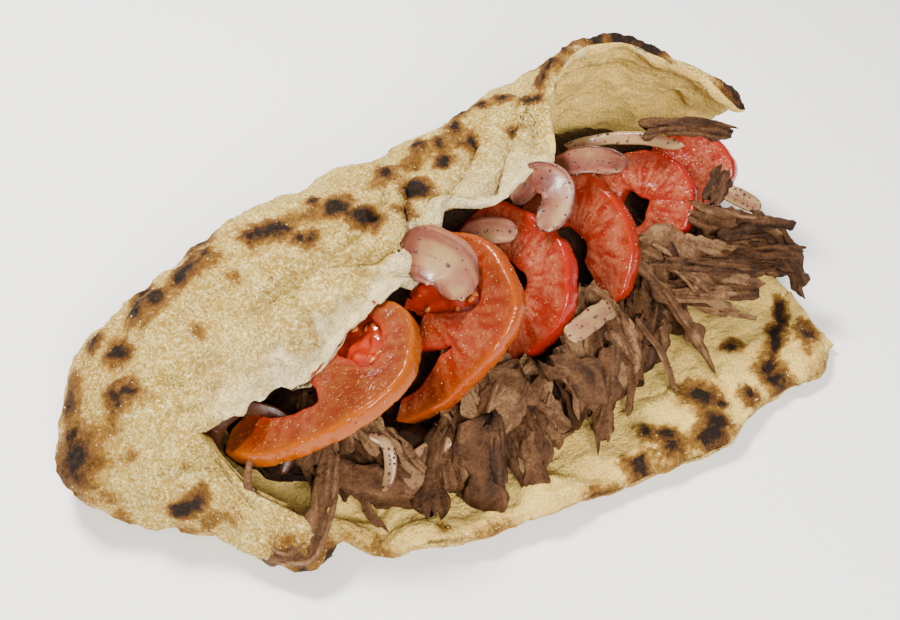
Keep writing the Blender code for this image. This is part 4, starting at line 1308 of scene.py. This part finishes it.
def make_strands(look):
    """The thin strands, as one piece."""
    strands = Gathered()
    for number, (route, width, tone) in enumerate(STRANDS):
        points, faces, fibre, _, _ = ribbon(
            route, width, width * 0.6, TOWARDS, 8000 + number,
            fray=1.0, ridges=0.15, wave=1.2, end=0.3, around=12,
        )
        strands.add(points, faces, fibre=fibre, tone=tone)
    strands.make("meat_strands", look, "meat")


def make_strips(look):
    """The loose strips that are sub-parts of their own, a piece each."""
    for number, (name, (route, width, thick, tone)) in enumerate(MEAT_STRIPS.items()):
        heap = Gathered()
        add_shred(heap, route, width, thick, tone, 900 + 7 * number)
        made = heap.make(name + "_fibres", look, "meat")
        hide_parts(name)


def make_loose_meat(look):
    """Shreds over the front of the heap and fanned out at its open end."""
    rng = random.Random(11)
    towards = np.array(TOWARDS)
    for name, low, high, wanted in (("left", -58, -28, 15), ("middle", -28, 22, 34), ("right", 22, 72, 34)):
        heap, made = Gathered(), 0
        for attempt in range(3000):
            x = rng.uniform(low, high)
            start = rng.uniform(0.25, 0.62)
            drift = rng.gauss(-2, 9)
            places = np.linspace(start, min(start + rng.uniform(0.26, 0.5), 0.93), 4)
            route = [heap_front(x + drift * s, [place]) for s, place in zip((0, 0.33, 0.66, 1), places)]
            route = np.concatenate(route) + towards * np.array([-1.5, 0.3, 0.9, -0.2])[:, None]
            route = route + towards * rng.uniform(-2, 0.8)
            if hits_tomato(route):
                continue
            facing = towards + [rng.uniform(-0.5, 0.5), rng.uniform(-0.3, 0.3), 0]
            width, thick, tone = rng.uniform(3.5, 12), rng.uniform(1.2, 2.0), rng.uniform(0.2, 0.95)
            add_shred(heap, route, width, thick, tone, 2000 + attempt, facing)
            made += 1
            if made == wanted:
                break
        heap.make("meat_shreds_" + name, look, "meat")
    heap = Gathered()
    for k in range(60):
        x, y = rng.uniform(56, 92), rng.uniform(-26, 2)
        z = rng.uniform(24, 43) - 0.25 * abs(y + 12)
        length = min(rng.uniform(14, 30), 113 - x)
        slope, swing = rng.uniform(-0.55, -0.1), rng.uniform(-0.55, 0.12)
        route = [(x + length * s, y + length * s * swing, z + length * s * slope) for s in (0, 0.35, 0.7, 1)]
        if not hits_tomato(np.array(route)):
            width, thick, tone = rng.uniform(2.2, 6.5), rng.uniform(1.2, 2.4), rng.uniform(0.3, 1.0)
            add_shred(heap, route, width, thick, tone, 5000 + k)
    heap.make("meat_shreds_end", look, "meat")


def meat_look():
    """Browned meat: its tone per shred and fibre picks the colour, mottled and grainy, with the fine grain's
    hollows painted darker as painted shade and its tops paler as painted highlight.
    """
    n = Nodes("shaved_meat")
    mottled = n.noise(260, 4, 0.65)
    grain = n.noise(1100, 4, 0.7)
    tone = n.maths("ADD", n.value("tone"), n.centred(mottled, 1.0))
    # the fine grain's hollows are painted darker as painted shade and its tops paler as painted highlight;
    # the same grain makes the bump below
    tone = n.maths("ADD", tone, n.centred(grain, 0.9))
    tone = n.maths("ADD", tone, n.maths("MULTIPLY", n.value("fibre"), 0.38))
    base = n.ramp(
        tone,
        (0.0, (0.008, 0.002, 0.0005)), (0.28, (0.036, 0.012, 0.002)), (0.55, (0.080, 0.031, 0.009)),
        (0.85, (0.145, 0.068, 0.027)), (1.0, (0.25, 0.135, 0.060)),
    )
    bump = n.bump(grain, 0.0009, 1.0)
    bump = n.bump(n.noise(320, 4, 0.6), 0.0012, 0.8, bump)
    roughness = n.ramp(mottled, (0.35, 0.34), (0.65, 0.70))
    return n.surface(Base_Color=base, Roughness=roughness, Normal=bump, Specular_IOR_Level=0.20)


# ---------------------------------------------------------------- onion

ONIONS = {  # route, width, thickness, facing, cup, twist, share of mauve, how blunt the ends are
    "onion_wedge": (
        ((-13, 6, 52), (-9, -3, 56.5), (-6, -11, 56), (-7, -19, 51)), 17, 1.0, TOWARDS, 0.16, 0, 0.75,
        1.7,
    ),
    "onion_ring": (
        ((27, 8, 54), (34, 8, 60), (37, 1, 62), (34, -6, 60), (27, -8.5, 54.5)), 10.5, 1.0,
        (-0.45, -0.5, 0.7), 0.10, 8, 1.0, 4,
    ),
    "onion_strip_1": (
        ((46, 17, 54), (54, 7, 60.5), (61, -4, 63.5)), 8.5, 1.0, (-0.6, -0.3, 0.7), 0.08, 10, 0.95, 3,
    ),
    "onion_strip_2": (
        ((62, 30, 47), (75, 18, 54), (87, 1, 57)), 4.2, 1.1, (-0.5, -0.3, 0.7), -0.15, 15, 0.15, 5,
    ),
    "onion_strip_3": (((11, 12, 43), (17, 5, 48.5), (23, -1, 50)), 8.5, 1.0, TOWARDS, 0.10, 0, 0.95, 3),
    "onion_strip_4": (
        ((20, -35, 36), (30, -33.5, 37.5), (41, -29, 34)), 6.5, 1.2, TOWARDS, -0.06, 10, 0.15, 14,
    ),
    "onion_strip_5": (
        ((-40, -38, 13), (-32, -40, 18), (-24, -41, 23)), 5.5, 1.0, TOWARDS, -0.1, -15, 0.2, 12,
    ),
    "onion_curl": (
        ((-45, -32, 28), (-41, -36, 25), (-43, -41, 19), (-47, -43, 15)), 3.4, 1.0, TOWARDS, -0.2, 40,
        0.3, 5,
    ),
    "onion_ring_edge": (
        ((-84, -8, 15), (-80, -5, 24), (-72, -6, 28.5), (-65, -12, 27), (-64, -19, 21), (-69, -24, 16)),
        4.6, 1.2, (-0.3, -0.7, 0.5), -0.2, 0, 2.4, 5,
    ),
    "onion_end": (((102, -3, 37), (105, -11, 37), (108, -18, 36)), 5.5, 1.2, TOWARDS, -0.1, 0, 0.4, 4),
}


def make_onions(look):
    """Cupped onion layers, more mauve along their edges and towards one end."""
    made = []
    for number, (name, onion) in enumerate(ONIONS.items()):
        route, width, thick, facing, cup, twist, mauve, blunt = onion
        points, faces, fibre, edge, station = ribbon(
            route, width, thick, facing, 700 + number, cup=cup, twist=twist, ridges=0.12, fray=0.3,
            wave=0.5, end=0.15, round=blunt, around=40, step=0.5, square=0.36,
        )
        mauve = np.clip(mauve * (0.42 + 0.7 * edge + 0.4 * np.maximum(-station, 0)), 0, 1.6)
        made.append(make_mesh(name + "_layer", points, faces, look, "onion", fibre=fibre, mauve=mauve))
        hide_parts(name)
    return made


def onion_look():
    """Wet onion from milky (0) to mauve (1), streaked along its veins."""
    n = Nodes("red_onion")
    streak = n.noise(500, 3, 0.6)
    mauve = n.maths("ADD", n.value("mauve"), n.maths("MULTIPLY", n.value("fibre"), 0.55))
    mauve = n.maths("ADD", mauve, n.centred(streak, 0.35))
    base = n.ramp(
        mauve, (0.05, (0.29, 0.18, 0.075)), (0.32, (0.23, 0.100, 0.048)), (0.62, (0.17, 0.052, 0.030)),
        (0.90, (0.10, 0.020, 0.013)), (1.0, (0.060, 0.018, 0.005)),
    )
    bump = n.bump(n.noise(420, 3, 0.6), 0.0003, 0.5)
    return n.surface(
        Base_Color=base, Roughness=0.38, Normal=bump, Subsurface_Weight=0.2,
        Subsurface_Radius=(0.004, 0.003, 0.003), Coat_Weight=0.12, Specular_IOR_Level=0.35,
    )


# ---------------------------------------------------------------- looks of the tomato and the small grains

RED_SCATTER = (0.005, 0.001, 0.0004)  # how far red, green and blue light spread in tomato, in metres


def tomato_look():
    """Wet flesh from orange-tan to red, the tan painted darker as painted shade on the flatter slices that
    face the light, with pale cells that carry painted glints, darker round the cavities, and a skin.
    """
    n = Nodes("tomato_flesh")
    mottled = n.noise(150, 4, 0.6)
    cells = n.noise(900, 2, 0.75)
    wide = n.noise(45, 3, 0.5)
    pale = n.maths("ADD", n.maths("MULTIPLY", n.value("streak"), 0.22), mottled)
    # tan is orange flesh held darker than red: painted shade for the flatter slices, which face the key
    # light
    tan = n.mix(n.ramp(pale, (0.34, 0.0), (0.68, 1.0)), (0.11, 0.012, 0.0), (0.15, 0.029, 0.002))
    red = n.mix(n.ramp(pale, (0.34, 0.0), (0.68, 1.0)), (0.20, 0.014, 0.006), (0.30, 0.075, 0.036))
    # the slice's redness, which on the flatter slices also holds painted shade
    ripe = n.maths("ADD", n.value("ripe"), n.centred(wide, 1.6), clamp=True)
    ripe = n.maths("ADD", ripe, n.maths("MULTIPLY", n.value("wet"), 0.4), clamp=True)
    base = n.mix(ripe, tan, red)
    # the pale tint on the cells is painted highlight, the fine glints of the wet flesh, laid over the cells'
    # own paler colour
    base = n.tint(base, cells, (0.60, 0.0), (0.72, 0.65), (0.40, 0.17, 0.05))
    base = n.tint(base, cells, (0.34, 0.7), (0.46, 0.0), (0.20, 0.010, 0.002))
    base = n.tint(base, n.value("wet"), (0.25, 0.0), (0.95, 0.7), (0.26, 0.006, 0.001))
    rim = n.mix(n.value("ripe"), (0.22, 0.052, 0.0), (0.24, 0.012, 0.002))
    base = n.tint(base, n.value("outer"), (0.30, 0.0), (0.80, 0.75), rim)
    skin = n.mix(n.value("ripe"), (0.28, 0.062, 0.0), (0.26, 0.004, 0.001))
    base = n.tint(base, n.value("skin"), (0.25, 0.0), (0.80, 0.95), skin)
    flesh = n.maths("SUBTRACT", 1.0, n.value("skin"), clamp=True)
    bump = n.bump(n.maths("MULTIPLY", cells, flesh), 0.0003, 0.9)
    bump = n.bump(n.noise(300, 2, 0.5), 0.0005, 0.5, bump)
    return n.surface(
        Base_Color=base, Roughness=n.ramp(cells, (0.35, 0.12), (0.7, 0.30)), Normal=bump,
        Subsurface_Weight=0.06, Subsurface_Radius=RED_SCATTER, Specular_IOR_Level=0.3,
    )


def jelly_look():
    """Glossy red jelly."""
    n = Nodes("tomato_jelly")
    base = n.mix(n.noise(300, 3), (0.20, 0.006, 0.002), (0.40, 0.030, 0.006))
    return n.surface(
        Base_Color=base, Roughness=0.07, Subsurface_Weight=0.2, Subsurface_Radius=RED_SCATTER,
        Coat_Weight=0.6,
    )


def seed_look():
    return Nodes("tomato_seeds").surface(Base_Color=(0.42, 0.11, 0.02), Roughness=0.25)


def sumac_look():
    return Nodes("sumac_flakes").surface(Base_Color=(0.06, 0.006, 0.004), Roughness=0.5)


# pale grains: semolina on the bread, and painted highlight on the tomato, where they stand in for glints of
# the wet flesh
def grain_look():
    return Nodes("semolina_and_glint_grains").surface(Base_Color=(0.95, 0.86, 0.62), Roughness=0.35)


# ---------------------------------------------------------------- camera, light and floor


def add_camera():
    """A view from the front left, 45 degrees down."""
    azimuth, elevation, distance = math.radians(-30), math.radians(45), 0.36
    target = Vector((-0.00583, 0.00752, 0.027))
    level = math.cos(elevation)
    back = Vector((math.sin(azimuth) * level, -math.cos(azimuth) * level, math.sin(elevation)))
    camera = bpy.data.objects.new("camera", bpy.data.cameras.new("camera"))
    camera.data.lens = 46
    camera.data.sensor_width = 36
    camera.location = target + back * distance
    camera.rotation_euler = back.to_track_quat("Z", "Y").to_euler()
    bpy.context.scene.collection.objects.link(camera)
    bpy.context.scene.camera = camera


def add_light(name, place, size, power, colour):
    """A square light that faces the middle of the sandwich."""
    data = bpy.data.lights.new(name, "AREA")
    data.size, data.energy, data.color = size, power, colour
    light = bpy.data.objects.new(name, data)
    light.location = place
    light.rotation_euler = (Vector(place) - Vector((0, 0, 0.03))).to_track_quat("Z", "Y").to_euler()
    bpy.context.scene.collection.objects.link(light)


def add_stage():
    """A pale floor, a soft bright surrounding and two lights."""
    floor = Nodes("pale_floor").surface(Base_Color=(0.93, 0.93, 0.93), Roughness=0.9)
    mesh = bpy.data.meshes.new("floor")
    reach, drop = 3, -0.0002
    corners = [(x * reach, y * reach, drop) for x, y in ((-1, -1), (1, -1), (1, 1), (-1, 1))]
    mesh.from_pydata(corners, [], [(0, 1, 2, 3)])
    mesh.materials.append(floor)
    made = bpy.data.objects.new("floor", mesh)
    bpy.context.scene.collection.objects.link(made)
    world = bpy.data.worlds.new("studio")
    bpy.context.scene.world = world
    world.use_nodes = True
    background = world.node_tree.nodes["Background"]
    background.inputs["Color"].default_value = (1.0, 0.99, 0.97, 1.0)
    background.inputs["Strength"].default_value = 0.48
    add_light("key_light", (-0.12, 0.34, 0.62), 0.16, 11.5, (1.0, 0.97, 0.92))
    add_light("front_light", (-0.20, -0.60, 0.50), 0.30, 12.0, (1.0, 0.97, 0.93))


def make_sandwich():
    """Every piece of the object. scatter takes its count, its sizes from small to large, and flatness."""
    bread = make_bread(bread_look())
    flesh, jelly, seeds = tomato_look(), jelly_look(), seed_look()
    tomatoes = [make_tomato(name, size, flesh, jelly, seeds) for name, size in TOMATOES.items()]
    meat = meat_look()
    make_core(meat)
    make_strips(meat)
    make_loose_meat(meat)
    make_strands(meat)
    onions = make_onions(onion_look())
    sumac, grain = sumac_look(), grain_look()
    scatter("sumac_on_onion", onions, 420, 0.25, 0.75, 0.4, sumac, "onion", 21)
    scatter("sumac_on_tomato", tomatoes, 150, 0.2, 0.6, 0.4, sumac, "tomato", 22)
    # the pale grains on the tomato are painted highlight, standing in for the fine glints of its wet flesh
    scatter("glint_grains_on_tomato", tomatoes, 320, 0.10, 0.20, 0.8, grain, "tomato", 23)
    scatter("grains_on_bread", [bread], 5200, 0.14, 0.30, 0.8, grain, "bread", 24)


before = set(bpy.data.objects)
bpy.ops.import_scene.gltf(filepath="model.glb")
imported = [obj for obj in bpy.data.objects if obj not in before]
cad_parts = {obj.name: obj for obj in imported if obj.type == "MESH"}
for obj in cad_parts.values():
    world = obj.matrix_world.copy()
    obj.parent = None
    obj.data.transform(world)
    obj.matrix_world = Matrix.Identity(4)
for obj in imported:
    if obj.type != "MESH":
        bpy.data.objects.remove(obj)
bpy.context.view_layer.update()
make_sandwich()
add_stage()
add_camera()
